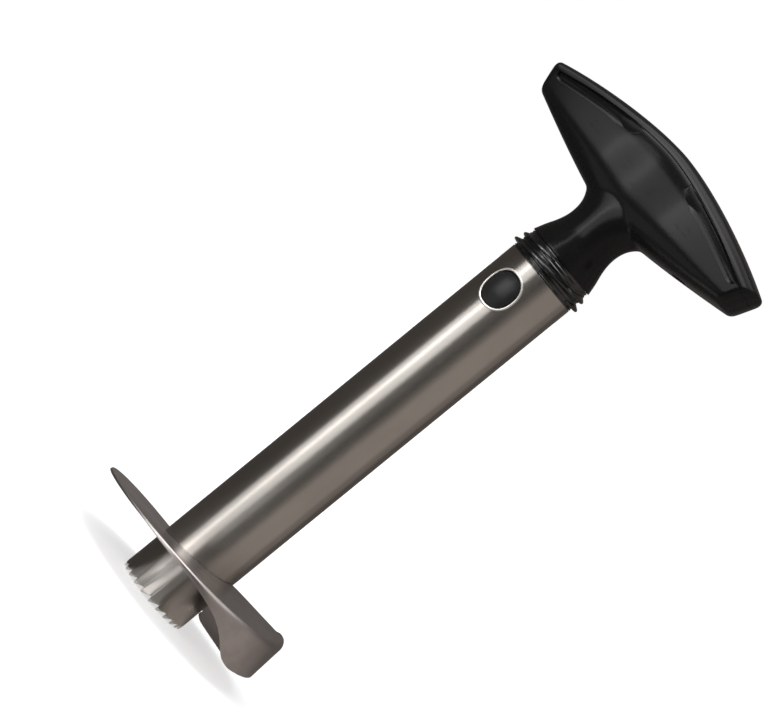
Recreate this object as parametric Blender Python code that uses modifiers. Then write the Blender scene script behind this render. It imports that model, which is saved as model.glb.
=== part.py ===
"""Pineapple slicer: a toothed steel coring tube with a one-turn slicing blade, and a T-grip
whose plug locks into the top of the tube with two sprung release buttons.

Metres, +Z up. The origin is the centre of the ring of tooth tips, the tube's axis is Z, the
grip spans X, and the buttons face -Y and +Y. Angles are counterclockwise from +X, seen from
above, and the tool cuts when it is turned clockwise.
"""
from math import copysign, cos, pi, radians, sin, tau

import bmesh
import bpy
from mathutils import Vector

mm = 0.001

# Clearances
FIT_GAP = 0.3 * mm
CUT_OVERRUN = 2.0 * mm

# Coring tube
TUBE_RADIUS = 15.0 * mm
TUBE_WALL = 0.8 * mm
TUBE_LENGTH = 175.7 * mm
TOOTH_COUNT = 22
TOOTH_DEPTH = 1.9 * mm
TOOTH_OUTLINE_SHARES = ((0.0, 0.0), (0.09, 0.0), (0.5, 0.52), (0.94, 1.0))

# Button windows, and the buttons that fill them
WINDOW_HEIGHT = 14.5 * mm
WINDOW_WIDTH = 12.3 * mm
WINDOW_DROP = 13.2 * mm
WINDOW_SQUARENESS = 2.3
BUTTON_PROUD = 0.4 * mm
BUTTON_CROWN = 1.4 * mm
BUTTON_DOME_SHARES = (1.0, 0.9, 0.7, 0.4)
BUTTON_DOME_POWER = 2.4
BUTTON_FLANGE_LIP = 1.0 * mm
BUTTON_FLANGE_THICKNESS = 1.6 * mm
BUTTON_FACE_THICKNESS = 3.4 * mm

# Slicing blade: angles are turned through from the leading edge, rising all the way
BLADE_GAUGE = 0.8 * mm
BLADE_PITCH = 15.0 * mm
BLADE_START_HEIGHT = 8.9 * mm
BLADE_RADIUS = 43.7 * mm
BLADE_DRAW_IN = 1.0 * mm
BLADE_DRAW_IN_TURN = radians(300)
BLADE_LEAD_BEARING = radians(-11)
BLADE_TURN = radians(400)
BLADE_STEP = radians(5)
BLADE_KNIFE_TURN = radians(7)
BLADE_KNIFE_SHARE = 0.2
BLADE_BEND = 2.6 * mm
BLADE_BEND_LIMIT_SHARE = 0.6
BLADE_LIP = 0.1 * mm
THROAT_REACH = 8.4 * mm
THROAT_TURN = radians(25)
TAIL_TURN = radians(25)

# Paring wall: how far down it hangs, in shares of its full drop, against the turn in degrees
PARING_SHARES = (
    (240, 0.0), (283, 0.07), (305, 0.11), (313, 0.15), (320, 0.21), (328, 0.3), (335, 0.43),
    (341, 0.59), (346, 0.76), (351, 0.9), (356, 0.97), (361, 1.0))
PARING_END_TURN = radians(465)
PARING_END_SHARE = 0.12
PARING_SKIRT = 0.4 * mm
PARING_KNIFE_HEIGHT = 2.2 * mm
PARING_KNIFE_LIMIT_SHARE = 0.6
WELD_TURNS = (radians(9), radians(50), radians(93))
WELD_SHARE = 0.35

# Plug and threaded collar
PLUG_LENGTH = 29.1 * mm
PLUG_STOP_WALL = 3.3 * mm
PLUG_POCKET_HEADROOM = 1.15 * mm
PLUG_POCKET_SIDE_ROOM = 0.15 * mm
COLLAR_HEIGHT = 8.0 * mm
COLLAR_OVERHANG = 0.1 * mm
COLLAR_TAPER = 0.6 * mm
THREAD_STARTS = 2
THREAD_TURN = radians(305)
THREAD_FADE_TURN = radians(40)
THREAD_BEARING = radians(164)
THREAD_LIFT = 1.2 * mm
THREAD_TOP_MARGIN = 1.0 * mm
THREAD_START_DEPTH = 1.9 * mm
THREAD_END_DEPTH = 1.1 * mm
THREAD_ROOT_THICKNESS = 2.4 * mm
THREAD_CREST_THICKNESS = 1.0 * mm
THREAD_DROOP = 0.35 * mm
KEY_WIDTH = 13.0 * mm
KEY_DEPTH = 9.0 * mm
KEY_HEIGHT = 8.0 * mm

# Plug end cap, its spring web and its screws
CAP_THICKNESS = 3.0 * mm
WEB_THICKNESS = 2.4 * mm
WEB_TOP_CLEARANCE = 1.5 * mm
WEB_PEG_RADIUS = 2.1 * mm
WEB_PEG_LENGTH = 1.5 * mm
CAP_SCREW_WALL = 1.3 * mm
CAP_SCREW_RADIUS = 1.3 * mm
CAP_SCREW_LENGTH = 12.0 * mm
CAP_SCREW_HEAD_RADIUS = 2.3 * mm
CAP_SCREW_HEAD_HEIGHT = 1.3 * mm

# Button springs
SPRING_RADIUS = 2.9 * mm
SPRING_WIRE_RADIUS = 0.3 * mm
SPRING_TURNS = 6
SPRING_DEAD_PITCH = 0.9 * mm

# Neck and T-grip
GRIP_RISE = 56.6 * mm
GRIP_HALF_SPAN = 58.6 * mm
GRIP_CROWN_DROP = 13.1 * mm
GRIP_CROWN_POWER = 1.7
GRIP_HUB_DEPTH = 35.5 * mm
GRIP_TIP_DEPTH = 10.4 * mm
GRIP_UNDER_POWER = 1.2
GRIP_HALF_WIDTH = 13.3 * mm
GRIP_HUB_WIDTH_SHARE = 0.93
GRIP_TIP_WIDTH_SHARE = 0.79
GRIP_WIDEST_SHARE = 0.3
GRIP_NARROWING_POWER = 1.6
GRIP_SQUARENESS = 2.7
GRIP_TIP_SQUARENESS = 4.6
GRIP_TIP_CROWN_SQUARENESS = 3.1
GRIP_END_SLANT = 0.42
GRIP_END_ROUND = 1.6 * mm
GRIP_END_ROUND_SHARES = (1.0, 0.5, 0.15, 0.0)
GRIP_END_BULGE = 3.0 * mm
GRIP_WALL = 2.4 * mm
GRIP_STATION_SHARES = (0.0, 0.13, 0.26, 0.39, 0.52, 0.65, 0.77, 0.87)
SEAM_DROP = 4.1 * mm
GROOVE_HEIGHT = 4.6 * mm
GROOVE_END_HEIGHT = 3.4 * mm
GROOVE_DEPTH = 1.3 * mm
GROOVE_START = 16.0 * mm
GROOVE_END = 51.0 * mm
GROOVE_START_SHARE = 0.3
GROOVE_FADE_SHARE = 0.18
NECK_OVERHANG = 0.5 * mm
NECK_SINK = 8.9 * mm
NECK_SHARES = (
    (0.0, 1.0, 1.0), (0.15, 0.91, 0.91), (0.29, 0.81, 0.81), (0.42, 0.755, 0.75),
    (0.55, 0.755, 0.745), (0.68, 0.84, 0.75), (0.8, 1.06, 0.755), (0.9, 1.46, 0.75),
    (1.0, 1.9, 0.74))
NECK_FLOOR = 5.0 * mm
NECK_WELL_RADIUS = 7.5 * mm

# Screws that hold the grip together
CENTRE_SCREW_RADIUS = 2.5 * mm
CENTRE_SCREW_LENGTH = 20.0 * mm
CENTRE_SCREW_HEAD_RADIUS = 4.6 * mm
CENTRE_SCREW_HEAD_HEIGHT = 2.8 * mm
WASHER_RADIUS = 6.0 * mm
WASHER_THICKNESS = 1.0 * mm
COVER_SCREW_OFFSET = 33.0 * mm
COVER_SCREW_RADIUS = 1.5 * mm
COVER_SCREW_HEADROOM = 6.1 * mm
COVER_SCREW_HEAD_RADIUS = 2.8 * mm
COVER_SCREW_HEAD_HEIGHT = 1.8 * mm
COVER_SCREW_DEPTH = 3.5 * mm
BODY_BOSS_RADIUS = 4.4 * mm
BODY_BOSS_TOP = 11.0 * mm
COVER_BOSS_RADIUS = 3.2 * mm
SCREW_CROWN_SHARE = 0.6
RECESS_DEPTH_SHARE = 0.55
RECESS_LENGTH_SHARE = 1.2
RECESS_WIDTH_SHARE = 0.28

# Smoothness
ROUND_STEPS = 48
SMALL_ROUND_STEPS = 16
OVAL_POINTS = 28
GRIP_RING_POINTS = 24
SPRING_STEPS_PER_TURN = 10

# Heights that follow from the sizes above
window_height = TUBE_LENGTH - WINDOW_DROP
collar_base = TUBE_LENGTH + FIT_GAP
collar_top = collar_base + COLLAR_HEIGHT
plug_end = collar_base - PLUG_LENGTH
pocket_top = window_height + WINDOW_HEIGHT / 2 + BUTTON_FLANGE_LIP + PLUG_POCKET_HEADROOM
neck_base = collar_top + FIT_GAP
socket_top = collar_top + KEY_HEIGHT + FIT_GAP
neck_floor_top = socket_top + NECK_FLOOR
crown_height = neck_base + GRIP_RISE
hub_under = crown_height - GRIP_HUB_DEPTH
under_rise = GRIP_HUB_DEPTH - GRIP_CROWN_DROP - GRIP_TIP_DEPTH
neck_height = hub_under + NECK_SINK - neck_base
thread_lead = (COLLAR_HEIGHT - THREAD_LIFT - THREAD_TOP_MARGIN) * tau / THREAD_TURN

# Radii and reaches that follow from them
plug_radius = TUBE_RADIUS - TUBE_WALL - FIT_GAP
collar_radius = TUBE_RADIUS + COLLAR_OVERHANG
collar_top_radius = collar_radius - COLLAR_TAPER
neck_radius = collar_top_radius + NECK_OVERHANG
pocket_reach = plug_radius - PLUG_STOP_WALL
pocket_half_width = WINDOW_WIDTH / 2 + BUTTON_FLANGE_LIP + PLUG_POCKET_SIDE_ROOM
cap_screw_offset = pocket_half_width + CAP_SCREW_WALL + CAP_SCREW_RADIUS + FIT_GAP
web_face = WEB_THICKNESS / 2
button_apex = TUBE_RADIUS + BUTTON_PROUD
flange_face = pocket_reach - FIT_GAP
flange_back = flange_face - BUTTON_FLANGE_THICKNESS


def start_empty_scene():
    """Remove whatever the scene holds and give back the two collections used here."""
    for old in list(bpy.data.objects):
        bpy.data.objects.remove(old)
    homes = []
    for name in ("pineapple_slicer", "pineapple_slicer_cutters"):
        home = bpy.data.collections.new(name)
        bpy.context.scene.collection.children.link(home)
        homes.append(home)
    return homes


parts, cutters = start_empty_scene()


def between(low, high, share):
    return low + (high - low) * share


def eased(low, high, share):
    """Runs smoothly from low to high as the share goes from 0 to 1, and stays there."""
    share = min(1.0, max(0.0, share))
    return between(low, high, share * share * (3 - 2 * share))


def from_table(table, value):
    """Read a table of (place, value, ...) rows at one place, in straight runs."""
    if value <= table[0][0]:
        return table[0][1:]
    for row, following in zip(table, table[1:]):
        if value <= following[0]:
            share = (value - row[0]) / (following[0] - row[0])
            return tuple(between(a, b, share) for a, b in zip(row[1:], following[1:]))
    return table[-1][1:]


def superellipse(half_width, half_height, squareness, count):
    """Points round an oval that is squarer the higher its squareness, 2 being an ellipse."""
    points = []
    for step in range(count):
        across = cos(tau * step / count)
        up = sin(tau * step / count)
        points.append((
            half_width * copysign(abs(across) ** (2 / squareness), across),
            half_height * copysign(abs(up) ** (2 / squareness), up)))
    return points


def add_object(name, mesh, home):
    thing = bpy.data.objects.new(name, mesh)
    home.objects.link(thing)
    if home is cutters:
        thing.hide_render = True
        thing.display_type = "WIRE"
    return thing


def loft(name, rings, home, closed=False, start_cap=True):
    """Skin a run of rings that have the same number of points, and cap its open ends."""
    shape = bmesh.new()
    rows = [[shape.verts.new(point) for point in ring] for ring in rings]
    count = len(rows[0])
    following = rows[1:] + ([rows[0]] if closed else [])
    for row, after in zip(rows, following):
        for step in range(count):
            turn = (step + 1) % count
            shape.faces.new((row[step], row[turn], after[turn], after[step]))
    if not closed:
        if start_cap:
            shape.faces.new(rows[0])
        shape.faces.new(rows[-1])
    bmesh.ops.recalc_face_normals(shape, faces=shape.faces)
    mesh = bpy.data.meshes.new(name)
    shape.to_mesh(mesh)
    shape.free()
    return add_object(name, mesh, home)


def box(name, size, centre, home=cutters):
    shape = bmesh.new()
    bmesh.ops.create_cube(shape, size=1)
    bmesh.ops.scale(shape, vec=Vector(size), verts=shape.verts)
    mesh = bpy.data.meshes.new(name)
    shape.to_mesh(mesh)
    shape.free()
    thing = add_object(name, mesh, home)
    thing.location = centre
    return thing


def turned(name, outline, home, steps=ROUND_STEPS):
    """Turn an outline of (radius, height) points, given top to bottom, round Z."""
    mesh = bpy.data.meshes.new(name)
    points = [(radius, 0, height) for radius, height in outline]
    mesh.from_pydata(points, [(i, i + 1) for i in range(len(points) - 1)], [])
    thing = add_object(name, mesh, home)
    screw = thing.modifiers.new("Turn", "SCREW")
    screw.angle = tau
    screw.steps = steps
    screw.render_steps = steps
    screw.use_merge_vertices = True
    screw.merge_threshold = 0.01 * mm
    return thing


def cylinder(name, radius, low, high, home=cutters, steps=SMALL_ROUND_STEPS):
    return turned(name, ((0, high), (radius, high), (radius, low), (0, low)), home, steps)


def join(thing, tool, operation):
    change = thing.modifiers.new(f"{operation.title()} {tool.name}", "BOOLEAN")
    change.operation = operation
    change.solver = "EXACT"
    change.object = tool


def cut(thing, tool):
    join(thing, tool, "DIFFERENCE")


def fuse(thing, tool):
    join(thing, tool, "UNION")


def mirror_x(thing):
    mirror = thing.modifiers.new("Other side", "MIRROR")
    mirror.merge_threshold = 0.01 * mm


def finish(thing, colour, metallic, roughness, smooth=True):
    """Give a piece its own material, and shade its round faces smooth."""
    material = bpy.data.materials.new(thing.name)
    material.use_nodes = True
    shader = material.node_tree.nodes["Principled BSDF"]
    shader.inputs["Base Color"].default_value = (*colour, 1)
    shader.inputs["Metallic"].default_value = metallic
    shader.inputs["Roughness"].default_value = roughness
    thing.data.materials.append(material)
    if smooth and thing.type == "MESH":
        thing.data.shade_smooth()
        thing.data.set_sharp_from_angle(angle=radians(35))


def finish_steel(thing, roughness=0.32):
    finish(thing, (0.55, 0.54, 0.52), 1.0, roughness)


def finish_plastic(thing, roughness=0.38):
    finish(thing, (0.012, 0.012, 0.012), 0.0, roughness)


def polar(radius, angle, height):
    return (radius * cos(angle), radius * sin(angle), height)


def oval_ring(half_width, half_height, reach, centre_height=window_height):
    """An oval that faces -Y, at the given distance from the tube's axis."""
    points = superellipse(half_width, half_height, WINDOW_SQUARENESS, OVAL_POINTS)
    return [(across, -reach, centre_height + up) for across, up in points]


# Coring tube

def make_core_tube():
    """The wall's section is carried round the axis, its lower end following the saw teeth."""
    sections = []
    for tooth in range(TOOTH_COUNT):
        for along_share, depth_share in TOOTH_OUTLINE_SHARES:
            angle = tau * (tooth + along_share) / TOOTH_COUNT
            foot = TOOTH_DEPTH * depth_share
            inner = TUBE_RADIUS - TUBE_WALL
            sections.append([
                polar(TUBE_RADIUS, angle, foot), polar(TUBE_RADIUS, angle, TUBE_LENGTH),
                polar(inner, angle, TUBE_LENGTH), polar(inner, angle, foot)])
    tube = loft("core_tube", sections, parts, closed=True)
    reach = TUBE_RADIUS + CUT_OVERRUN
    rings = [oval_ring(WINDOW_WIDTH / 2, WINDOW_HEIGHT / 2, y) for y in (-reach, reach)]
    cut(tube, loft("window_cutter", rings, cutters))
    finish_steel(tube)
    return tube


# Slicing blade

def blade_height(turn):
    return BLADE_START_HEIGHT + BLADE_PITCH * turn / tau


def blade_rim(turn):
    """Rim radius, which draws in a little where the paring wall is tall."""
    drawn = (turn - BLADE_DRAW_IN_TURN) / (BLADE_TURN - BLADE_DRAW_IN_TURN)
    return BLADE_RADIUS - eased(0, BLADE_DRAW_IN, drawn)


def sheet_section(inner, rim, top, drop, gauge, bend, flare):
    """Radius and height round the sheet: flat, bent down at the rim, and thin at the foot."""
    inside_bend = max(bend - gauge, BLADE_LIP / 4)
    straight = drop - max(bend, gauge + inside_bend)
    knife = min(PARING_KNIFE_HEIGHT, straight * PARING_KNIFE_LIMIT_SHARE)
    outside = [(inner, top)]
    inside = [(inner, top - gauge)]
    bend_steps = 3
    for step in range(bend_steps + 1):
        across = 1 - sin(pi / 2 * step / bend_steps)
        down = 1 - cos(pi / 2 * step / bend_steps)
        outside.append((rim - bend * across, top - bend * down))
        inside.append((
            rim - gauge - inside_bend * across, top - gauge - inside_bend * down))
    foot = top - drop
    knife_top = foot + knife
    middle = (outside[-1][1] + knife_top) / 2
    inner_middle = (inside[-1][1] + knife_top) / 2
    outside += [(rim, middle), (rim, knife_top), (rim, foot)]
    inside += [
        (rim - gauge, inner_middle), (rim - gauge, knife_top),
        (rim - gauge * BLADE_KNIFE_SHARE, foot)]
    return [
        (radius + flare * (top - height), height) for radius, height in outside + inside[::-1]]


def make_blade_sheet():
    """One turn of flat blade whose rim grows into the wall that reaches the first turn's rim."""
    sections = []
    full_drop = BLADE_PITCH + BLADE_GAUGE + PARING_SKIRT
    count = round(PARING_END_TURN / BLADE_STEP)
    for step in range(count + 1):
        turn = PARING_END_TURN * step / count
        gauge = BLADE_GAUGE * between(BLADE_KNIFE_SHARE, 1.0, min(1.0, turn / BLADE_KNIFE_TURN))
        top = blade_height(turn) + BLADE_GAUGE / 2
        past_tail = (turn - BLADE_TURN) / (PARING_END_TURN - BLADE_TURN)
        lowered = full_drop * (1 - eased(1.0, PARING_END_SHARE, past_tail))
        drop = full_drop * from_table(PARING_SHARES, turn * 180 / pi)[0] - lowered
        top -= lowered
        drop = max(drop, gauge + BLADE_LIP)
        bend = min(BLADE_BEND, drop * BLADE_BEND_LIMIT_SHARE)

        clear_of_wall = (turn - (PARING_END_TURN - tau)) / BLADE_KNIFE_TURN
        flare = (BLADE_RADIUS - blade_rim(turn)) / full_drop
        rim = blade_rim(turn) + flare * lowered
        rim -= eased(BLADE_GAUGE + FIT_GAP, 0, clear_of_wall)
        throat = max(0.0, 1 - turn / THROAT_TURN)
        tail = max(0.0, (turn - BLADE_TURN + TAIL_TURN) / TAIL_TURN)
        inner = TUBE_RADIUS + FIT_GAP + THROAT_REACH * throat ** 2
        inner = between(inner, rim - bend - BLADE_LIP, min(1.0, tail ** 2))
        section = sheet_section(inner, rim, top, drop, gauge, bend, flare)
        angle = BLADE_LEAD_BEARING + turn
        sections.append([polar(radius, angle, height) for radius, height in section])
    return loft("slicing_blade", sections, parts)


def make_slicing_blade():
    """The sheet, spot welded where the wall's foot runs round the first turn's rim."""
    blade = make_blade_sheet()
    for index, turn in enumerate(WELD_TURNS):
        reach = blade_rim(turn) - BLADE_GAUGE / 2
        start = reach - BLADE_GAUGE * 2 - FIT_GAP
        weld = cylinder(f"spot_weld_{index}", BLADE_GAUGE * WELD_SHARE, start, reach)
        weld.rotation_euler = (0, pi / 2, BLADE_LEAD_BEARING + turn)
        weld.location.z = blade_height(turn)
        fuse(blade, weld)
    finish_steel(blade, 0.25)
    return blade


# Plug with its threaded collar

def make_thread(start):
    """One helical fin on the collar, drooping a little and fading out at both ends."""
    count = ROUND_STEPS
    bearing = THREAD_BEARING + tau * start / THREAD_STARTS
    sections = []
    for step in range(count + 1):
        turn = THREAD_TURN * step / count
        share = turn / THREAD_TURN
        middle = collar_base + THREAD_LIFT + thread_lead * turn / tau
        root = between(collar_radius, collar_top_radius, (middle - collar_base) / COLLAR_HEIGHT)
        strength = min(1.0, min(turn, THREAD_TURN - turn) / THREAD_FADE_TURN)
        tip = between(
            collar_radius + THREAD_START_DEPTH, collar_top_radius + THREAD_END_DEPTH, share)
        crest = between(root + FIT_GAP / 2, tip, strength)
        inner = root - THREAD_CREST_THICKNESS / 2
        droop = THREAD_DROOP * strength
        half_root = between(THREAD_CREST_THICKNESS, THREAD_ROOT_THICKNESS, strength) / 2
        angle = bearing + turn
        sections.append([
            polar(inner, angle, middle - half_root),
            polar(crest, angle, middle - droop - THREAD_CREST_THICKNESS / 2),
            polar(crest, angle, middle - droop + THREAD_CREST_THICKNESS / 2),
            polar(inner, angle, middle + half_root)])
    return loft(f"thread_fin_{start}", sections, cutters)


def make_spigot():
    """Plug, collar and key as one moulding, pocketed from below for the buttons."""
    outline = (
        (0, collar_top), (collar_top_radius, collar_top), (collar_radius, collar_base),
        (plug_radius, collar_base), (plug_radius, plug_end), (0, plug_end))
    spigot = turned("spigot", outline, parts)
    key_size = (KEY_WIDTH, KEY_DEPTH, KEY_HEIGHT + COLLAR_HEIGHT / 2)
    fuse(spigot, box("key", key_size, (0, 0, collar_top + KEY_HEIGHT - key_size[2] / 2)))
    for start in range(THREAD_STARTS):
        fuse(spigot, make_thread(start))

    pocket_floor = plug_end - CUT_OVERRUN
    pocket_size = (pocket_half_width * 2, pocket_reach * 2, pocket_top - pocket_floor)
    cut(spigot, box("button_pocket", pocket_size, (0, 0, (pocket_top + pocket_floor) / 2)))
    reach = TUBE_RADIUS + CUT_OVERRUN
    rings = [oval_ring(WINDOW_WIDTH / 2, WINDOW_HEIGHT / 2, y) for y in (-reach, reach)]
    cut(spigot, loft("button_ports", rings, cutters))

    pilot_end = neck_floor_top - CENTRE_SCREW_LENGTH
    pilot_radius = CENTRE_SCREW_RADIUS + FIT_GAP
    cut(spigot, cylinder("centre_pilot", pilot_radius, pilot_end, socket_top))
    for side in (-1, 1):
        pilot = cylinder(
            f"cap_pilot_{side}", CAP_SCREW_RADIUS + FIT_GAP, plug_end - CUT_OVERRUN,
            plug_end + CAP_SCREW_LENGTH - CAP_THICKNESS / 2 + FIT_GAP)
        pilot.location.x = side * cap_screw_offset
        cut(spigot, pilot)
    finish_plastic(spigot)
    return spigot


def make_spigot_end_cap():
    """Disc that closes the plug, with the upright web that both springs push against."""
    top = plug_end - FIT_GAP
    under = top - CAP_THICKNESS
    cap = cylinder("spigot_end_cap", plug_radius, under, top, parts, ROUND_STEPS)
    web_top = pocket_top - WEB_TOP_CLEARANCE
    web_foot = top - CAP_THICKNESS / 2
    web_width = (pocket_half_width - FIT_GAP) * 2
    web_size = (web_width, WEB_THICKNESS, web_top - web_foot)
    fuse(cap, box("spring_web", web_size, (0, 0, (web_top + web_foot) / 2)))
    peg_reach = web_face + WEB_PEG_LENGTH
    peg = cylinder("spring_pegs", WEB_PEG_RADIUS, -peg_reach, peg_reach)
    peg.rotation_euler.x = pi / 2
    peg.location.z = window_height
    fuse(cap, peg)
    seat = under + CAP_SCREW_HEAD_HEIGHT + FIT_GAP * 2
    hole = CAP_SCREW_RADIUS + FIT_GAP
    bore = CAP_SCREW_HEAD_RADIUS + FIT_GAP
    for side in (-1, 1):
        outline = (
            (0, top + CUT_OVERRUN), (hole, top + CUT_OVERRUN), (hole, seat), (bore, seat),
            (bore, under - CUT_OVERRUN), (0, under - CUT_OVERRUN))
        counterbore = turned(f"cap_counterbore_{side}", outline, cutters, SMALL_ROUND_STEPS)
        counterbore.location.x = side * cap_screw_offset
        cut(cap, counterbore)
    finish_plastic(cap, 0.5)
    return seat - FIT_GAP


# Buttons and springs

def make_button(name, side):
    """Domed oval button with a stop flange behind, bored from the back for its spring."""
    half_width = WINDOW_WIDTH / 2 - FIT_GAP
    half_height = WINDOW_HEIGHT / 2 - FIT_GAP
    lip = BUTTON_FLANGE_LIP
    bore = SPRING_RADIUS + SPRING_WIRE_RADIUS + FIT_GAP
    bore_floor = button_apex - BUTTON_FACE_THICKNESS
    dome_base = button_apex - BUTTON_CROWN

    def ring(width, height, reach):
        return [(x, y + dome_base, z) for x, y, z in oval_ring(width, height, reach, 0)]

    rings = [
        ring(bore, bore, bore_floor), ring(bore, bore, flange_back),
        ring(half_width + lip, half_height + lip, flange_back),
        ring(half_width + lip, half_height + lip, flange_face),
        ring(half_width, half_height, flange_face)]
    for share in BUTTON_DOME_SHARES:
        rise = BUTTON_CROWN * (1 - share ** BUTTON_DOME_POWER)
        rings.append(ring(half_width * share, half_height * share, dome_base + rise))
    button = loft(name, rings, parts)
    button.location = (0, -side * dome_base, window_height)
    button.rotation_euler.z = 0 if side > 0 else pi
    finish_plastic(button, 0.3)
    return button


def make_spring(name, side):
    """Coil spring from the web to the floor of the button's bore, with a dead turn at each end."""
    start = web_face + FIT_GAP + SPRING_WIRE_RADIUS
    end = button_apex - BUTTON_FACE_THICKNESS - FIT_GAP - SPRING_WIRE_RADIUS
    steps = SPRING_TURNS * SPRING_STEPS_PER_TURN
    live_pitch = (end - start - 2 * SPRING_DEAD_PITCH) / (SPRING_TURNS - 2)
    reach = start
    points = []
    for step in range(steps + 1):
        angle = tau * step / SPRING_STEPS_PER_TURN
        points.append((SPRING_RADIUS * cos(angle), -reach, SPRING_RADIUS * sin(angle)))
        dead = min(step, steps - 1 - step) < SPRING_STEPS_PER_TURN
        reach += (SPRING_DEAD_PITCH if dead else live_pitch) / SPRING_STEPS_PER_TURN
    wire = bpy.data.curves.new(name, "CURVE")
    wire.dimensions = "3D"
    wire.bevel_depth = SPRING_WIRE_RADIUS
    wire.bevel_resolution = 1
    wire.use_fill_caps = True
    wire.render_resolution_u = 0
    line = wire.splines.new("POLY")
    line.points.add(len(points) - 1)
    for knot, point in zip(line.points, points):
        knot.co = (*point, 1)
    spring = add_object(name, wire, parts)
    spring.location.z = window_height
    spring.rotation_euler.z = 0 if side > 0 else pi
    finish_steel(spring, 0.3)
    return spring


# Neck and grip

def crown_at(x):
    return crown_height - GRIP_CROWN_DROP * (abs(x) / GRIP_HALF_SPAN) ** GRIP_CROWN_POWER


def underside_at(x):
    return hub_under + under_rise * (abs(x) / GRIP_HALF_SPAN) ** GRIP_UNDER_POWER


def half_width_at(x):
    """Half the grip's width: it swells from the hub to each lobe, then narrows to the tip."""
    share = abs(x) / GRIP_HALF_SPAN
    swell = eased(GRIP_HUB_WIDTH_SHARE, 1.0, share / GRIP_WIDEST_SHARE)
    past_lobe = max(0.0, share - GRIP_WIDEST_SHARE) / (1 - GRIP_WIDEST_SHARE)
    narrowing = past_lobe ** GRIP_NARROWING_POWER
    return GRIP_HALF_WIDTH * (swell - (1 - GRIP_TIP_WIDTH_SHARE) * narrowing)


def seam_at(x):
    return crown_at(x) - SEAM_DROP


def cover_screw_length():
    """Each cover screw ends a set headroom under the crown, however deep the grip is."""
    depth = crown_at(COVER_SCREW_OFFSET) - underside_at(COVER_SCREW_OFFSET)
    return depth - COVER_SCREW_DEPTH - COVER_SCREW_HEADROOM


def grip_section(x, inset):
    """Ring round the grip at x, leaning outwards near the tip, drawn in all round by inset."""
    top = crown_at(x) - inset
    under = underside_at(x) + inset
    middle = (top + under) / 2
    towards_tip = (abs(x) / GRIP_HALF_SPAN) ** 2
    lean = GRIP_END_SLANT * towards_tip * abs(x) / GRIP_HALF_SPAN
    half_width = half_width_at(x) - inset
    low_squareness = between(GRIP_SQUARENESS, GRIP_TIP_SQUARENESS, towards_tip)
    high_squareness = between(GRIP_SQUARENESS, GRIP_TIP_CROWN_SQUARENESS, towards_tip)
    ring = []
    for step in range(GRIP_RING_POINTS):
        angle = tau * step / GRIP_RING_POINTS
        power = 2 / (low_squareness if sin(angle) < 0 else high_squareness)
        y = half_width * copysign(abs(cos(angle)) ** power, cos(angle))
        up = (top - under) / 2 * copysign(abs(sin(angle)) ** power, sin(angle))
        bulge = GRIP_END_BULGE * towards_tip ** 2 * (y / half_width) ** 2
        ring.append((x + lean * up - bulge, y, middle + up))
    return ring


def grip_envelope(name, inset, home):
    """The outer form of the whole grip for inset 0, or its hollow for a wall's inset."""
    tip_lean = (crown_at(GRIP_HALF_SPAN) - underside_at(GRIP_HALF_SPAN)) / 2 * GRIP_END_SLANT
    tip = GRIP_HALF_SPAN - tip_lean - inset
    rings = [grip_section(tip * share, inset) for share in GRIP_STATION_SHARES]
    for share in GRIP_END_ROUND_SHARES:
        rounding = GRIP_END_ROUND * (1 - (1 - (1 - share) ** 2) ** 0.5)
        rings.append(grip_section(tip - GRIP_END_ROUND * share, inset + rounding))
    envelope = loft(name, rings, home, start_cap=False)
    mirror_x(envelope)
    return envelope


def seam_block(name, low_side, gap):
    """Block that takes away all of the grip on one side of the seam under the top cover."""
    far = GRIP_HALF_SPAN + CUT_OVERRUN
    half_depth = GRIP_HALF_WIDTH + CUT_OVERRUN
    limit = neck_base - CUT_OVERRUN if low_side else crown_height + CUT_OVERRUN
    rings = []
    for share in GRIP_STATION_SHARES + (1.0,):
        x = far * share
        level = seam_at(x) + gap
        rings.append([
            (x, -half_depth, level), (x, half_depth, level),
            (x, half_depth, limit), (x, -half_depth, limit)])
    block = loft(name, rings, cutters, start_cap=False)
    mirror_x(block)
    return block


def groove_cutter(name, side):
    """Long recess under the cover's edge on one face, fading in from the hub."""
    count = 7
    rings = []
    for step in range(count + 1):
        share = step / count
        x = between(GROOVE_START, GROOVE_END, share)
        top = seam_at(x)
        height = between(GROOVE_HEIGHT, GROOVE_END_HEIGHT, share)
        depth = GROOVE_DEPTH * between(GROOVE_START_SHARE, 1.0, min(1.0, share / GROOVE_FADE_SHARE))
        middle = (crown_at(x) + underside_at(x)) / 2
        rise = abs(top - height / 2 - middle) / (crown_at(x) - middle)
        face = half_width_at(x) * (1 - rise ** GRIP_SQUARENESS) ** (1 / GRIP_SQUARENESS)
        outer = face + CUT_OVERRUN
        slope = depth / 2
        rings.append([
            (x, side * (face - depth), top - height + slope), (x, side * outer, top - height - slope),
            (x, side * outer, top + CUT_OVERRUN), (x, side * (face - depth), top + CUT_OVERRUN)])
    return loft(name, rings, cutters)


def make_neck():
    """Cone that narrows from the collar, then flares into the underside of both wings."""
    rings = []
    for height_share, wide_share, deep_share in NECK_SHARES:
        outline = superellipse(neck_radius * wide_share, neck_radius * deep_share, 2, ROUND_STEPS)
        height = neck_base + neck_height * height_share
        rings.append([(x, y, height) for x, y in outline])
    return loft("neck", rings, cutters)


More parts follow.
